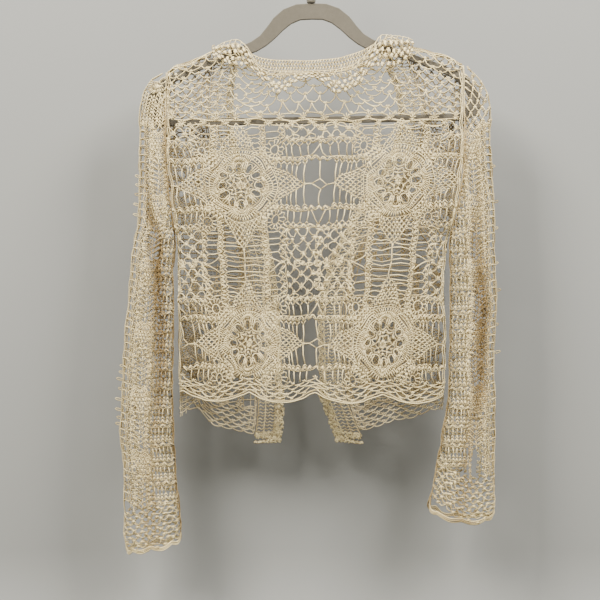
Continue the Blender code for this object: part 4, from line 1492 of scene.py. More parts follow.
def mottle_group() -> Tree:
    """Group for uneven tone: the mean of broad and small soft patches over the piece.

    Returns:
        The group's tree.
    """
    nodes, given, out = shared_group("soft_mottle", ("Broad", "Small"), ("Patch",))
    broad, small = (nodes.noise(given.outputs["Vector"], given.outputs[size])
                    for size in ("Broad", "Small"))
    nodes.fill(out, {"Patch": nodes.maths("MULTIPLY", nodes.maths("ADD", broad, small), 0.5)})
    return nodes.tree


def new_material(name: str) -> tuple[Material, Recipe, Node]:
    """Make a material.

    Args:
        name: its name.

    Returns:
        The material, its nodes and its Principled shader.
    """
    material = bpy.data.materials.new(name)
    material.use_nodes = True
    return material, Recipe(material.node_tree), material.node_tree.nodes["Principled BSDF"]


@dataclass(frozen=True)
class YarnFinish:
    """Matte cotton yarn, with painted shade in the ply grooves, on the yarn's sides and in
    folds.

    Where a hem drop is given, the yarn below it has its unshaded colour, and the given colours
    above it are a painted shade.
    """

    name: str
    light: Triple = (0.94, 0.8, 0.43)
    dark: Triple = (0.2, 0.13, 0.045)
    cool: Triple = (0.9, 0.79, 0.45)
    unshaded: Triple = (0.9, 0.78, 0.48)
    roughness: float = 0.86
    sheen: float = 0.04
    pitch: float = 0.0026
    # Drop in metres above which the given colours stay as a painted shade; 0 for none.
    hem: float = 0.0

    def make(self, twist: Tree, mottle: Tree) -> Material:
        """Build the material.

        Args:
            twist: shared group of the plied yarn.
            mottle: shared group of the uneven tone.

        Returns:
            The material.
        """
        material, nodes, shader = new_material(self.name)
        uv = nodes.add("UVMap")
        uv.uv_map = "yarn"
        tone = nodes.add("Attribute")
        tone.attribute_name = "tone"
        plies = nodes.group(twist, uv.outputs["UV"], Pitch=self.pitch, Plies=2.0).outputs
        patches = nodes.group(mottle, nodes.object_place(), Broad=9.0, Small=70.0)
        worn = nodes.maths("MULTIPLY", nodes.maths("SUBTRACT", patches.outputs["Patch"], 0.42),
                           2.4)
        base = nodes.blend(worn, self.light, self.cool)
        # Painted shade: above the hem drop the darker given colours stay, and below it the yarn
        # blends to the unshaded colour.
        if self.hem:
            drop = nodes.maths("MULTIPLY", nodes.split(nodes.object_place())["Z"], -1.0)
            under = nodes.maths("MULTIPLY", 40.0, nodes.maths("ADD", -self.hem, drop))
            base = nodes.blend(under, base, self.unshaded)
        # Painted shade: the ply grooves and the tone attribute, which holds each strand's
        # random dark and the painted shade of the yarn's sides and folds, blend the colour
        # towards dark.
        groove = nodes.maths("POWER", nodes.maths("SUBTRACT", 1.0, plies["Ridge"]), 2.0)
        shade = nodes.maths("ADD", nodes.maths("MULTIPLY", groove, 0.5), tone.outputs["Fac"])
        height = nodes.maths("ADD", plies["Ridge"], nodes.maths("MULTIPLY", plies["Fuzz"], 0.5))
        nodes.fill(shader, {
            "Base Color": nodes.blend(shade, base, self.dark),
            "Normal": nodes.bump(height, 0.0003), "Roughness": self.roughness,
            "Specular IOR Level": 0.25, "Sheen Weight": self.sheen, "Sheen Roughness": 0.6})
        return material


@dataclass(frozen=True)
class FlockFinish:
    """Short beige flock: a fine nap, worn a little smoother in patches."""

    name: str = "hanger_flock"
    light: Triple = (0.115, 0.1, 0.07)
    dark: Triple = (0.062, 0.053, 0.036)
    sheen: float = 0.2

    def make(self, mottle: Tree) -> Material:
        """Build the material.

        Args:
            mottle: shared group of the uneven tone.

        Returns:
            The material.
        """
        material, nodes, shader = new_material(self.name)
        where = nodes.object_place()
        nap = nodes.noise(where, 2400.0, 4.0)
        patch = nodes.group(mottle, where, Broad=14.0, Small=220.0).outputs["Patch"]
        share = nodes.maths("MULTIPLY", nodes.maths("ADD", nap, patch), 0.6)
        rough = nodes.maths("ADD", 0.82, nodes.maths("MULTIPLY", patch, 0.2))
        nodes.fill(shader, {
            "Base Color": nodes.blend(share, self.light, self.dark), "Roughness": rough,
            "Normal": nodes.bump(nap, 0.0005), "Sheen Weight": self.sheen,
            "Sheen Roughness": 0.4})
        return material


@dataclass(frozen=True)
class SteelFinish:
    """Bright plated wire with faint draw marks along it."""

    name: str = "plated_wire"
    colour: Triple = (0.78, 0.78, 0.77)
    worn: Triple = (0.6, 0.6, 0.59)

    def make(self, mottle: Tree) -> Material:
        """Build the material.

        Args:
            mottle: shared group of the uneven tone.

        Returns:
            The material.
        """
        material, nodes, shader = new_material(self.name)
        where = nodes.object_place()
        patch = nodes.group(mottle, where, Broad=60.0, Small=900.0).outputs["Patch"]
        rough = nodes.maths("ADD", 0.12, nodes.maths("MULTIPLY", patch, 0.22))
        nodes.fill(shader, {
            "Base Color": nodes.blend(patch, self.colour, self.worn), "Roughness": rough,
            "Normal": nodes.bump(nodes.noise(where, 1800.0), 0.00004), "Metallic": 1.0})
        return material


# ---- sub-assemblies


@dataclass
class LacePiece(ABC):
    """What every piece of the cardigan shares: its cut, its node and its hanging.

    The unevenness of its yarn is drawn from the seed.
    """

    node: str
    slot: str = "cotton_lace"
    cut: Pair = (0.1, 0.1)
    area: float | None = None
    made: str = "lace"
    seed: int = 0

    @property
    def name(self) -> str:
        """Name of the finished piece."""
        return f"{self.node.removesuffix('_panel')}_{self.made}"

    @property
    @abstractmethod
    def cloth(self) -> Cloth:
        """The cloth that the piece's charts are bent onto."""

    @abstractmethod
    def charts(self) -> Iterable[Chart]:
        """The piece's charts, in the order of working."""

    def trim(self, yarn: YarnMesh) -> None:
        """Sweep the yarn that stands off the cloth, of which most pieces have none."""

    def solids(self) -> tuple[str, ...]:
        """Names of the solids that the piece stands for."""
        return (self.node,)

    def build(self, finish: Material) -> None:
        """Work the piece and hang it in its solid's place.

        Args:
            finish: finish of its yarn.
        """
        yarn = YarnMesh(self.name, self.cloth, self.seed)
        for chart in self.charts():
            yarn.work(chart)
        self.trim(yarn)
        item = yarn.finish(finish)
        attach(item, BODY_NAME)
        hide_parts(*self.solids())


@dataclass
class BackPanel(LacePiece):
    """The back: four doily motifs, a net yoke above them and wavy rows at the hem."""

    node: str = "back_panel"
    cut: Pair = (0.405, 0.47)
    area: float | None = 0.171
    seed: int = 21
    centres_x: tuple[float, float, float, float] = (-92.0, 115.7, -80.0, 95.8)
    centres_drop: tuple[float, float, float, float] = (323.0, 317.0, 531.0, 531.0)
    yoke_end: float = 243.0
    yoke_pitch: float = 20.0
    yoke_rises: tuple[float, ...] = (-12.0, 0.0, 14.5, 25.5, 34.5, 42.5, 49.5, 56.0, 62.5,
                                     69.0)
    star_pitch: float = 29.0
    hem_pitch: float = 16.0
    hem_zone: float = 25.0
    motif: DoilyMotif = field(default_factory=DoilyMotif)

    @property
    def cloth(self) -> BackCloth:
        """The back's cloth."""
        return BackCloth()

    def _stretch(self, strands: Array) -> Array:
        """Carry chart points onto the back, weighting the four centres both ways.

        Args:
            strands: points about the middle of the four motifs, (..., 2).

        Returns:
            Points on the back, (..., 2).
        """
        u, v = strands[..., 0] / self.motif.half, strands[..., 1] / self.motif.half
        places = []
        for across_it, down_it, centres in (
                (u, np.clip(v, -1.6, 1), self.centres_x),
                (np.clip(u, -1.3, 1.3), v, self.centres_drop)):
            weights = ((1 - across_it) * (1 - down_it), (1 + across_it) * (1 - down_it),
                       (1 - across_it) * (1 + down_it), (1 + across_it) * (1 + down_it))
            places.append(sum(w * c for w, c in zip(weights, centres)) / 4)
        return across(*places)

    def _motifs(self) -> Chart:
        """The four motifs, cut off at the yoke and at the hem's rows.

        Returns:
            Their strands.
        """
        one, chart = self.motif.chart(), Chart()
        for u in (-1, 1):
            for v in (-1, 1):
                for strands, stitch in one.moved(u * self.motif.half,
                                                 v * self.motif.half).batches:
                    chart.add(self._stretch(strands), stitch)
        return chart.between(lambda x: self.yoke_end,
                             lambda x: back_hem(x) - self.hem_zone)

    def _level(self, x: Array, row: int) -> Array:
        """Drop of a row of the yoke: wide steps in the middle, even ones beside it.

        Args:
            x: places across the back.
            row: number of the row, counted from the lowest.

        Returns:
            Drops, shaped like x.
        """
        first = self.yoke_end - 16
        crowd = smooth_step((np.abs(x - 4) - 38) / 50)
        close = (first - self.cloth.top(x)) / 12
        open_row = np.interp(row, np.arange(-1, 9), self.yoke_rises)
        return first - open_row * (1 - crowd) - close * row * crowd

    def _yoke(self) -> Chart:
        """Rows of wide loops that crowd together over the shoulders.

        Returns:
            The rows' strands.
        """
        chart = Chart()
        for row in range(17):
            x = np.arange(-206 - self.yoke_pitch / 2 * (row % 2), 222, self.yoke_pitch)
            x = x + 1.6 * np.sin(x * 0.7 + row)
            here, middle = across(x, self._level(x, row)), (x[:-1] + x[1:]) / 2
            fall = self._level(middle, row - 1) - self._level(middle, row)
            chart.waves(here, fall * 0.94)
            chart.shells(here, UP, 3.2, 1.9, 4)
        return chart.between(lambda x: self.cloth.top(x) + 0.5,
                             lambda x: self.yoke_end - 13)

    def _star_rows(self) -> Chart:
        """Two rows of small stars between long slits, under the yoke.

        Returns:
            The rows' strands.
        """
        chart, pitch = Chart(), self.star_pitch
        for number, drop in enumerate((231.0, 240.2)):
            stars = across(np.arange(-184 + pitch / 2 * number, 206, pitch), drop)
            chart.shells(stars, 0.2, 5.2, 2 * math.pi * 7 / 8, 8)
            for lean in (-3.3, 3.3):
                near, far = stars[:-1] + (3, lean), stars[1:] + (-3, lean)
                chart.add(bent(near, (near + far) / 2 + (0, lean * 0.4), far, 5),
                          Stitch.CHAIN)
        return chart

    def _hem_rows(self) -> Chart:
        """Long low loops that follow the scallops.

        Returns:
            The rows' strands.
        """
        chart, pitch = Chart(), self.hem_pitch
        for row, above in enumerate(np.arange(5.6, 27, 4.3)):
            x = np.arange(-184 + pitch / 2 * (row % 2), 190, pitch)
            here, middle = across(x, back_hem(x) - above), (x[:-1] + x[1:]) / 2
            sag = back_hem(middle) - (back_hem(x[:-1]) + back_hem(x[1:])) / 2
            chart.waves(here, sag + 2.2)
            chart.shells(here, UP, 3.0, 1.9, 3)
        return chart

    def _seams(self) -> Chart:
        """Cords along the hem, the neck, the shoulders and the sides.

        Returns:
            The cords' strands.
        """
        chart = Chart()
        x = np.linspace(-174, 179, 140)
        for above, stitch in ((0.9, Stitch.SHELL), (4.1, Stitch.SCALE)):
            chart.line(x, back_hem(x) - above, stitch)
        x = np.linspace(-189, 202, 120)
        for below in (1.2, 3.4):
            chart.line(x, self.cloth.top(x) + below, Stitch.CORD)
        drop = np.linspace(172, 604, 130)
        for side in Side:
            for inset in (1.0, 3.0):
                chart.line(BODY.at(side.column, drop) - side.value * inset, drop,
                           Stitch.SCALE)
        return chart

    def charts(self) -> Iterable[Chart]:
        """The motifs, the yoke, the rows and the seams."""
        return (self._motifs(), self._yoke(), self._star_rows(), self._hem_rows(),
                self._seams())


@dataclass
class FrontPanel(LacePiece):
    """One front: two motifs, one above the other, and wavy rows at the hem."""

    side: Side = Side.LEFT
    centres_x: Pair = (-150.0, -124.0)
    centres_drop: Pair = (318.0, 530.0)
    overlap: float = 0.98
    yoke_end: float = 236.0
    hem_pitch: float = 15.0
    hem_zone: float = 34.0
    motif: DoilyMotif = field(default_factory=DoilyMotif)

    @property
    def cloth(self) -> FrontCloth:
        """The front's cloth."""
        return FrontCloth(self.side)

    def _motifs(self) -> Chart:
        """The motifs and those beside them, cut off at the yoke and at the hem's rows.

        Returns:
            Their strands.
        """
        one, chart = self.motif.chart(), Chart()
        for beside in (0.0, self.side.value * -2 * self.motif.half * self.overlap):
            for x, drop in zip(self.centres_x, self.centres_drop):
                chart.join(one.moved(x + beside, drop))
        return chart.between(lambda x: self.yoke_end,
                             lambda x: self.cloth.hem(x) - self.hem_zone)

    def _rows(self) -> Chart:
        """Net over the shoulder, and long low loops at the hem.

        Returns:
            The rows' strands.
        """
        chart = Chart()
        low, high = sorted((float(BODY.at(self.side.column, np.array(300.0))),
                            self.side.value * 30.0))
        chart.net(low, high, 150, self.yoke_end + 2, 11.5, 6.2, knots=3)
        for row, above in enumerate(np.arange(5.6, 38, 4.6)):
            x = np.arange(low - 5, high + 20, self.hem_pitch) + self.hem_pitch / 2 * (row % 2)
            here = across(x, self.cloth.hem(x) - above)
            chart.waves(here, 2.6)
            chart.shells(here, UP, 3.9, 2.4, 5, Stitch.SHELL)
        return chart

    def _seams(self) -> Chart:
        """Cords along the hem, the shoulder, the side and the edging's seam.

        Returns:
            The cords' strands.
        """
        chart, way = Chart(), self.side.value
        outer = float(BODY.at(self.side.column, np.array(640.0)))
        x = np.linspace(outer, -way * 20.0 + outer * 0.2, 90)
        for above in (1.0, 4.2):
            chart.line(x, self.cloth.hem(x) - above, Stitch.SHELL)
        x = np.linspace(way * 132, way * 204, 40)
        for below in (1.2, 3.4):
            chart.line(x, shoulder_line(x) + below, Stitch.CORD)
        drop = np.linspace(150, 650, 130)
        for inset in (1.0, 3.4, 9.0):
            chart.line(BODY.at(self.side.column, drop) - way * inset, drop, Stitch.SCALE)
            chart.line(self.cloth.sewn(drop) + way * inset, drop, Stitch.SCALE)
        return chart

    def charts(self) -> Iterable[Chart]:
        """The motifs, the rows and the seams."""
        return self._motifs(), self._rows(), self._seams()


@dataclass
class SleeveHalf(LacePiece):
    """Half of a sleeve: pineapples down its middle, bars inside, shells outside."""

    side: Side = Side.LEFT
    layer: Layer = Layer.BACK
    cut: Pair = (0.1, 0.64)
    area: float | None = 0.047
    cuff: tuple[float, float, float, float] = (807.0, 788.0, 4.0, 4.5)
    head_end: float = 244.0
    knots_at: Pair = (9.5, 14.8)
    shells_at: Pair = (17.8, 34.4)
    middle: float = 26.0
    bars_from: float = 37.0
    bars_to: float = 76.0
    band_pitch: float = 25.0
    repeat: float = 84.0
    pineapple: Pineapple = Pineapple(
        back=14.0, crescent=(3.2, 5.4), crescent_posts=7, posts=9, post_inner=6.0,
        post_outer=11.5, outer_spread=math.radians(30), loops=5, loop_width=4.4,
        row_height=4.6)

    @property
    def cloth(self) -> SleeveCloth:
        """This half's cloth."""
        return SleeveCloth(self.side, self.layer, self.cuff)

    def solids(self) -> tuple[str, ...]:
        """Names of the upper and the lower solid of this half."""
        return f"{self.node}_upper", f"{self.node}_lower"

    def _head(self) -> Chart:
        """A fan with scale rows about it on the left, and net over the shoulder.

        Returns:
            The strands.
        """
        chart = Chart()
        first = 22.0 if self.side is Side.LEFT else 0.0
        chart.net(first, 66, 166, self.head_end, 10.4, 8.4, knots=3)
        if self.side is Side.LEFT:
            root = np.array([16.0, 186.0])
            chart.add(ring(4.6, 9) + root - (0, 3), Stitch.CHAIN)
            for low, high, count in ((3.5, 9.0, 11), (10.0, 15.5, 15)):
                angles = np.radians(np.linspace(40, 190, count))
                chart.add(straight(polar(low, angles), polar(high, angles)) + root,
                          Stitch.POST)
            for row, radius in enumerate(np.arange(17.0, 56.0, 4.2)):
                angles = (np.arange(-2, 190, 250 / radius) + 125 / radius * (row % 2))
                angles = np.radians(angles) + 0.1
                chart.add(bent(polar(radius, angles[:-1]),
                               polar(radius + 4.2, (angles[:-1] + angles[1:]) / 2),
                               polar(radius, angles[1:])) + root, Stitch.SCALE)
        return chart

    def _bands(self, start: float, end: float) -> Chart:
        """Bands of bars between lumpy rows, down the sleeve's inner part.

        Args:
            start: drop of the first band.
            end: drop that no band starts below.

        Returns:
            The bands' strands.
        """
        chart = Chart()
        inner = evenly(self.bars_from, self.bars_to, 4.6)
        for drop in np.arange(start, end, self.band_pitch):
            chart.bars(across(inner, drop), (0, 12.0), bow=0.4, fork=1.8)
            chart.zigzag(across(inner, drop + 12.6), (0, 5.0), Stitch.POST)
            chart.zigzag(across(inner[::2], drop + 19.4), (0, 4.6), Stitch.POST)
        return chart

    def _pineapples(self, start: float, end: float) -> Chart:
        """Pineapples that point down, and the V-shaped net between them.

        Args:
            start: drop of the first pineapple.
            end: drop that no pineapple starts below.

        Returns:
            The strands.
        """
        chart = Chart()
        placed = self.pineapple.chart().turned(math.pi / 2)
        for drop in np.arange(start, end, self.repeat):
            chart.join(placed.moved(self.middle, drop))
            for row in range(7):
                low, half = drop + 36 + row * 6.6, min(3.0 + 1.9 * row, 10.5)
                tips = across([self.middle - half, self.middle, self.middle + half],
                              [low - half * 0.5, low + 4, low - half * 0.5])
                chart.add(tips[None], Stitch.CHAIN)
                chart.shells(tips[::2], DOWN, 3.4, 1.6, 3)
                chart.add(straight(tips[1:2], tips[1:2] + (0, 6.6)), Stitch.SCALE)
            for way in (-1, 1):
                feet = across(self.middle + way * np.linspace(11.5, 3.5, 5),
                              np.linspace(drop + 11, drop + 33, 5))
                chart.add(bent(feet, feet + (way * 3.0, 3.0),
                               across(self.middle + way * 12.0, feet[:, 1])), Stitch.CHAIN)
        return chart

    def _outside(self, start: float, end: float) -> Chart:
        """A ladder of cells at the outer fold, and a column of star knots beside it.

        Args:
            start: drop of their upper end.
            end: drop of their lower end.

        Returns:
            The strands.
        """
        chart = Chart()
        for row, drop in enumerate(np.arange(start, end, 10.4)):
            for place, rise in zip(self.knots_at, (0.0, 5.2)):
                root = across([place], drop + rise)
                chart.shells(root, row * 0.7, 3.6, 5.0, 5)
                chart.add(straight(root + (0, 2.0), root + (0, 9.0)), Stitch.SCALE)
            chart.add(bent(across([0.2], drop), across([4.0], drop - 1.2),
                           across([7.4], drop + 0.6)), Stitch.CORD)
        line = np.arange(start, end, 3.0)
        for place, sway in ((1.0, 0.3), (7.2, 0.9), (34.6, 1.1)):
            chart.line(place + sway * np.sin(line * 0.6 + place), line, Stitch.CHAIN)
        for place in self.shells_at:
            chart.shells(across(place, evenly(start, end, 7.0)), 0.0, 2.6, 5.0, 4)
        return chart

    def _cuff(self) -> Chart:
        """Wavy rows above the scalloped cuff, close at its edge.

        Returns:
            The rows' strands.
        """
        chart = Chart()
        for row, above in enumerate(np.arange(5.0, 62.0, 6.4)):
            place = np.arange(-5.0, 84, 10.0) + 5.0 * (row % 2)
            level = self.cloth.hem(np.clip(place / 66, 0, 1) * HALF_GIRTH) - above
            here = across(place, level)
            chart.loops(here, -5.6)
            chart.shells(here, DOWN, 3.6, 1.8, 4)
        return chart

    def _seams(self) -> Chart:
        """Cords along the cuff and both folds.

        Returns:
            The cords' strands.
        """
        chart = Chart()
        along = np.linspace(0, HALF_GIRTH, 60)
        for above in (1.0, 2.9, 5.0):
            chart.line(along, self.cloth.hem(along) - above, Stitch.CORD)
        drop = np.linspace(self.cloth.table.first("drop") + 1, 806, 150)
        for place in (0.6, HALF_GIRTH - 0.6):
            chart.line(place, drop, Stitch.SCALE)
        return chart

    def trim(self, yarn: YarnMesh) -> None:
        """Sweep small loops of yarn that stand out of the back half's outer fold.

        A loop is a ring, drawn out along the way across and leaning as it goes.

        Args:
            yarn: mesh that gets the loops.
        """
        if self.layer is Layer.FRONT:
            return
        drop = np.concatenate([np.arange(313, 366, 12.0), np.arange(560, 644, 11.5)])
        if self.side is Side.RIGHT:
            drop = np.arange(300, 560, 41.0)
        drop = drop + 3 * np.sin(drop)
        root = self.cloth.place(across(0.6, drop))
        turn = np.linspace(0, 2 * np.pi, 9)
        reach = 3.6 + 1.1 * np.sin(drop * 2.3)
        x = root[:, :1] + self.side.value * reach[:, None] * (1 - np.cos(turn))
        z = root[:, 2:] + 1.5 * np.sin(turn) + 0.25 * (x - root[:, :1]) * self.side.value
        path = np.stack([x, np.broadcast_to(root[:, 1:2], x.shape), z], axis=-1)
        out = np.broadcast_to(np.array([0.0, self.layer.value, 0.0]), path.shape)
        yarn.sweep(path, out, 0.7, np.zeros(x.shape))

    def charts(self) -> Iterable[Chart]:
        """The charts as seen, a little lower on the front half, and the seams.

        Returns:
            The charts, carried onto the half.
        """
        shift = 0.0 if self.layer is Layer.BACK else 12.0
        end = float(self.cloth.hem(np.array(50.0))) - 62
        seen = (self._head(), self._bands(self.head_end + shift, end - 14),
                self._pineapples(250 + shift, end - 50), self._outside(240, end),
                self._cuff())
        return *map(self.cloth.carried, seen), self._seams()


@dataclass
class CollarBand(LacePiece):
    """The close-worked band round the back of the neck."""

    node: str = "collar_band"
    slot: str = "cotton_dense"
    cut: Pair = (0.172, 0.0155)
    made: str = "rows"
    seed: int = 61
    rows: int = 3
    stitch: float = 3.9

    @property
    def cloth(self) -> BandCloth:
        """The band's cloth."""
        return BandCloth()

    def charts(self) -> Iterable[Chart]:
        """Rows of short upright stitches between cords.

        Returns:
            One chart.
        """
        chart = Chart()
        height = BAND_HEIGHT / self.rows
        line = np.linspace(*BAND_ENDS, 90)
        for row in range(self.rows + 1):
            chart.line(line, np.clip(row * height, 0.6, BAND_HEIGHT - 0.6), Stitch.CORD)
        x = np.arange(-83, 84.5, self.stitch)
        for row in range(self.rows):
            lean = self.stitch * 0.5 * (1 if row % 2 else -1)
            chart.add(straight(across(x, row * height), across(x + lean, (row + 1) * height)),
                      Stitch.SHELL)
        return [chart]


@dataclass
class CollarRuffle(LacePiece):
    """The ruffle of shells that falls from the band and over the shoulders.

    Levels are shares of the way down it, from 0 to 100, and its slope is how much of
    that share a millimetre takes up.
    """

    node: str = "collar_ruffle"
    slot: str = "cotton_dense"
    cut: Pair = (0.3, 0.033)
    area: float | None = 0.0074
    made: str = "shells"
    seed: int = 63
    row_levels: Pair = (3.0, 21.0)
    pitch: float = 7.4
    knob_levels: tuple[float, ...] = (97.0, 76.0, 55.0, 30.0)
    knob_pitch: float = 7.2
    knob: float = 2.0
    slope: float = 4.2

    @property
    def cloth(self) -> RuffleCloth:
        """The ruffle's cloth."""
        return RuffleCloth()

    def charts(self) -> Iterable[Chart]:
        """Two open rows under the band, then popcorns that crowd at the edge.

        Returns:
            One chart.
        """
        chart, knobs = Chart(), Chart()
        line = np.linspace(-128.5, 136.5, 110)
        for row, level in enumerate(self.row_levels):
            chart.line(line, level + 2.5 * np.sin(line * 1.1 + row), Stitch.SCALE)
        for row, level in enumerate(self.row_levels):
            feet = np.arange(-128 + self.pitch / 2 * row, 136, self.pitch)
            lean = 1.8 * (1 if row else -1)
            chart.add(straight(across(feet, level), across(feet + lean, level + 18.0)),
                      Stitch.POST)
        for row, level in enumerate(self.knob_levels):
            x = np.arange(-127 + self.knob_pitch / 2 * (row % 2), 136.5, self.knob_pitch)
            if row == 3:
                x = x[np.abs(x - 4) > 78]
            height = (level + 4.0 * np.sin(x * 0.8 + row)) / self.slope
            knobs.popcorns(across(x, height), self.knob, row, Stitch.KNOB)
        chart.join(knobs.scaled(1.0, self.slope))
        return [chart]


@dataclass
class FrontEdging(LacePiece):
    """The close shell edging down one front."""

    side: Side = Side.LEFT
    slot: str = "cotton_dense"
    cut: Pair = (0.035, 0.56)
    area: float | None = 0.019
    made: str = "shells"
    pitch: float = 3.4
    shell_zone: float = 10.0
    shell_pitch: float = 10.0
    knob: float = 2.9

    @property
    def cloth(self) -> EdgingCloth:
        """The edging's cloth."""
        return EdgingCloth(self.side)

    def charts(self) -> Iterable[Chart]:
        """Close leaning stitches, then shells and popcorns at the free edge.

        Returns:
            One chart.
        """
        chart, table = Chart(), OPENINGS[self.side]
        top, low = table.first("drop") + 3, table.last("drop") - 1
        inner = EDGING_WIDTH - self.shell_zone
        for row, place in enumerate(np.arange(1.0, inner, self.pitch)):
            drop = np.arange(top + 2.2 * (row % 2), low - 7, 4.4)
            start = across(place + 0.5 * np.sin(drop), drop)
            chart.add(straight(start, start + (self.pitch, 2.4 * (1 if row % 2 else -1))),
                      Stitch.POST)
        line = np.arange(top, low - 6, 3.2)
        for place in (1.0, 0.45 * inner, inner):
            chart.line(place + 0.7 * np.sin(line * 0.9), line, Stitch.CHAIN)
        drop = np.arange(top + 4, low - 4, self.shell_pitch)
        chart.shells(across(inner, drop), 0.0, 7.6, 1.7, 5, Stitch.SHELL, rim=True)
        for place, shift in ((EDGING_WIDTH, 0.0), (EDGING_WIDTH - 4.6, 3.0)):
            drop = np.arange(low - 74 + shift, low, 6.0)
            chart.popcorns(across(place + 1.6 * np.sin(drop * 0.7), drop), self.knob, 4,
                           Stitch.KNOB)
        for rise, shift in ((0.4, 0.0), (5.8, 2.8), (11.2, 0.0)):
            place = np.arange(2.0 + shift, EDGING_WIDTH + 2, 5.6)
            chart.popcorns(across(place, low - rise + 1.2 * np.sin(place)), self.knob, 5,
                           Stitch.KNOB)
        return [chart]


@dataclass(frozen=True)
class Hanger:
    """The slim flocked hanger and its hook, whose solids already have their shape."""

    flocked: tuple[str, ...] = ("hanger_frame", "hanger_boss")
    plated: tuple[str, ...] = ("hanger_hook",)

    def dress(self, flock: Material, steel: Material) -> None:
        """Give the solids their finishes.

        Args:
            flock: finish of the frame and the boss.
            steel: finish of the hook.
        """
        for names, finish in ((self.flocked, flock), (self.plated, steel)):
            for name in names:
                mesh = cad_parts[name].data
                mesh.materials.clear()
                mesh.materials.append(finish)
                LOG.info("%s: finished as %s", name, finish.name)


@dataclass(frozen=True)
class Lamp:
    """A soft square light, in metres and watts, that looks at the garment's middle."""

    name: str
    place: Triple
    size: float
    power: float
    colour: Triple = (1.0, 0.98, 0.95)
    aim: Triple = (0.0, 0.0, -0.45)

    def hang(self) -> None:
        """Put the light into the scene."""
        light = bpy.data.lights.new(self.name, "AREA")
        light.size, light.energy, light.color = self.size, self.power, self.colour
        x, y, z = np.array(self.aim) - np.array(self.place)
        turn = (math.atan2(math.hypot(x, y), -z), 0.0, math.atan2(-x, y))
        put(self.name, light, self.place, turn)


@dataclass(frozen=True)
class Studio:
    """A plain pale floor and backdrop, soft lights and the camera."""

    floor_level: float = -1.02
    backdrop_at: float = 0.09
    backdrop_radius: float = 0.2
    half_width: float = 2.6
    nearest: float = -3.2
    height: float = 1.5
    colour: Triple = (0.188, 0.189, 0.174)
    air: Triple = (1.0, 0.98, 0.94)
    air_strength: float = 0.04
    camera_at: Triple = (-0.0133, -2.0, -0.474)
    shown: float = 0.798
    sensor: float = 36.0
    lamps: tuple[Lamp, ...] = (
        Lamp("key", (-1.2, -1.25, 1.2), 0.8, 178.0, (1.0, 0.97, 0.92)),
        Lamp("fill", (1.3, -1.2, 1.0), 0.9, 138.0),
        Lamp("top", (0.1, -0.8, 1.8), 0.6, 30.0))

    def _paper(self) -> Material:
        """Make the stage's pale paper, which is clear where it is seen from behind.

        Returns:
            The material.
        """
        material, nodes, shader = new_material("studio_paper")
        shadow = tuple(0.96 * part for part in self.colour)
        patches = nodes.noise(nodes.object_place(), 3.0)
        nodes.fill(shader, {"Base Color": nodes.blend(patches, self.colour, shadow),
                            "Roughness": 0.9})
        behind = nodes.add("NewGeometry").outputs["Backfacing"]
        clear = nodes.add("BsdfTransparent").outputs[0]
        either = nodes.fill(nodes.add("MixShader"),
                            {0: behind, 1: shader.outputs[0], 2: clear})
        nodes.feed(nodes.tree.nodes["Material Output"].inputs[0], either.outputs[0])
        return material

    def _stage(self) -> Item:
        """Floor and backdrop as one sheet: flat, a quarter round, then upright.

        Returns:
            The stage.
        """
        bend = np.linspace(0, math.pi / 2, 14)
        radius = self.backdrop_radius
        y = np.concatenate([[self.nearest], self.backdrop_at - radius
                            + radius * np.sin(bend), [self.backdrop_at]])
        z = np.concatenate([[self.floor_level], self.floor_level + radius
                            - radius * np.cos(bend), [self.height]])
        x = np.array([-self.half_width, self.half_width])
        points = np.stack([np.repeat(x, len(y)), np.tile(y, 2), np.tile(z, 2)], axis=-1)
        first = np.arange(len(y) - 1)
        faces = np.stack([first, first + len(y), first + len(y) + 1, first + 1], axis=-1)
        mesh = bpy.data.meshes.new("studio_floor")
        mesh.from_pydata(points.tolist(), [], faces.tolist())
        mesh.shade_smooth()
        mesh.materials.append(self._paper())
        return put("studio_floor", mesh)

    def build(self) -> None:
        """Set the stage, the lights, the world and the camera."""
        self._stage()
        for lamp in self.lamps:
            lamp.hang()
        world = bpy.data.worlds.new("studio_air")
        world.use_nodes = True
        Recipe(world.node_tree).fill(world.node_tree.nodes["Background"],
                                     {"Color": self.air, "Strength": self.air_strength})
        lens = bpy.data.cameras.new("camera")
        lens.sensor_width = lens.sensor_height = self.sensor
        lens.sensor_fit = "HORIZONTAL"
        lens.lens = self.sensor * -self.camera_at[1] / self.shown
        lens.clip_end = 20.0
        bpy.context.scene.world = world
        bpy.context.scene.camera = put("camera", lens, self.camera_at,
                                       (math.pi / 2, 0.0, 0.0))


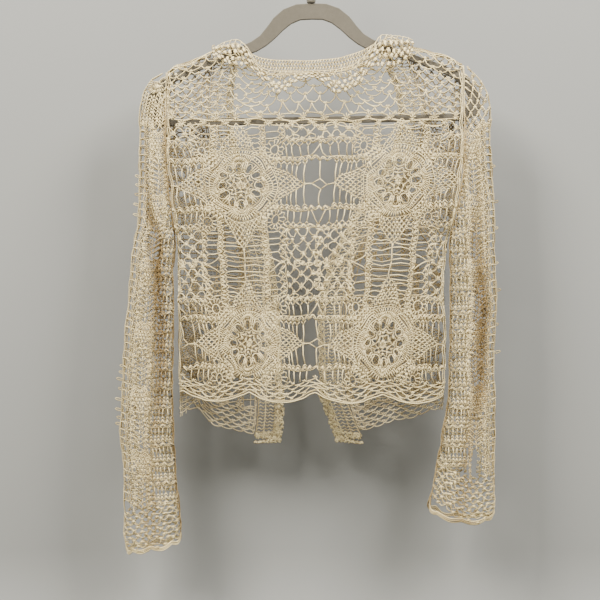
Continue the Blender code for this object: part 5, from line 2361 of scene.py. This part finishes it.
def cardigan(lace: Material, shaded_fronts: Material, close: Material
             ) -> list[tuple[LacePiece, Material]]:
    """List the cardigan's pieces in the order of making, each with its finish.

    Args:
        lace: yarn of the back and the sleeves.
        shaded_fronts: yarn of the fronts, painted darker as shade since they hang behind the
            back.
        close: yarn of the collar and the edgings.

    Returns:
        The pieces and their finishes.
    """
    pieces: list[tuple[LacePiece, Material]] = [
        (BackPanel(), lace),
        (FrontPanel("front_left", cut=(0.115, 0.5), area=0.0436, seed=30,
                    side=Side.LEFT), shaded_fronts),
        (FrontPanel("front_right", cut=(0.15, 0.5), area=0.0525, seed=32,
                    side=Side.RIGHT, centres_x=(158.0, 110.0),
                    centres_drop=(314.0, 530.0)), shaded_fronts),
        (CollarBand(), close),
        (CollarRuffle(), close),
        (FrontEdging("front_edging_left", seed=69, side=Side.LEFT), close),
        (FrontEdging("front_edging_right", seed=71, side=Side.RIGHT), close),
    ]
    cuffs = {Side.LEFT: (807.0, 788.0, 4.0, 4.5), Side.RIGHT: (757.0, 743.0, 15.0, 3.5)}
    for side in Side:
        for layer in Layer:
            pieces.append((SleeveHalf(
                f"sleeve_{side.column}_{layer.column}", side=side, layer=layer,
                seed=40 + 3 * side.value + layer.value, cuff=cuffs[side]), lace))
    return pieces


def main() -> None:
    """Build and dress every piece, then set the studio."""
    logging.basicConfig(level=logging.INFO, format="%(name)s %(message)s")
    twist, mottle = plied_yarn_group(), mottle_group()
    lace = YarnFinish("lace_yarn").make(twist, mottle)
    # Painted shade: the fronts' yarn is about half as bright as the back's down to a drop of
    # 0.6 m, as if shaded behind the back; below that it has the unshaded cream.
    shaded_fronts = YarnFinish("front_yarn", light=(0.46, 0.37, 0.2), dark=(0.17, 0.115, 0.045),
                        cool=(0.45, 0.38, 0.21), hem=0.6).make(twist, mottle)
    close = YarnFinish("shell_yarn", light=(0.94, 0.81, 0.46), pitch=0.0022
                       ).make(twist, mottle)
    for piece, finish in cardigan(lace, shaded_fronts, close):
        piece.build(finish)
    Hanger().dress(FlockFinish().make(mottle), SteelFinish().make(mottle))
    Studio().build()


if __name__ == "__main__":
    main()
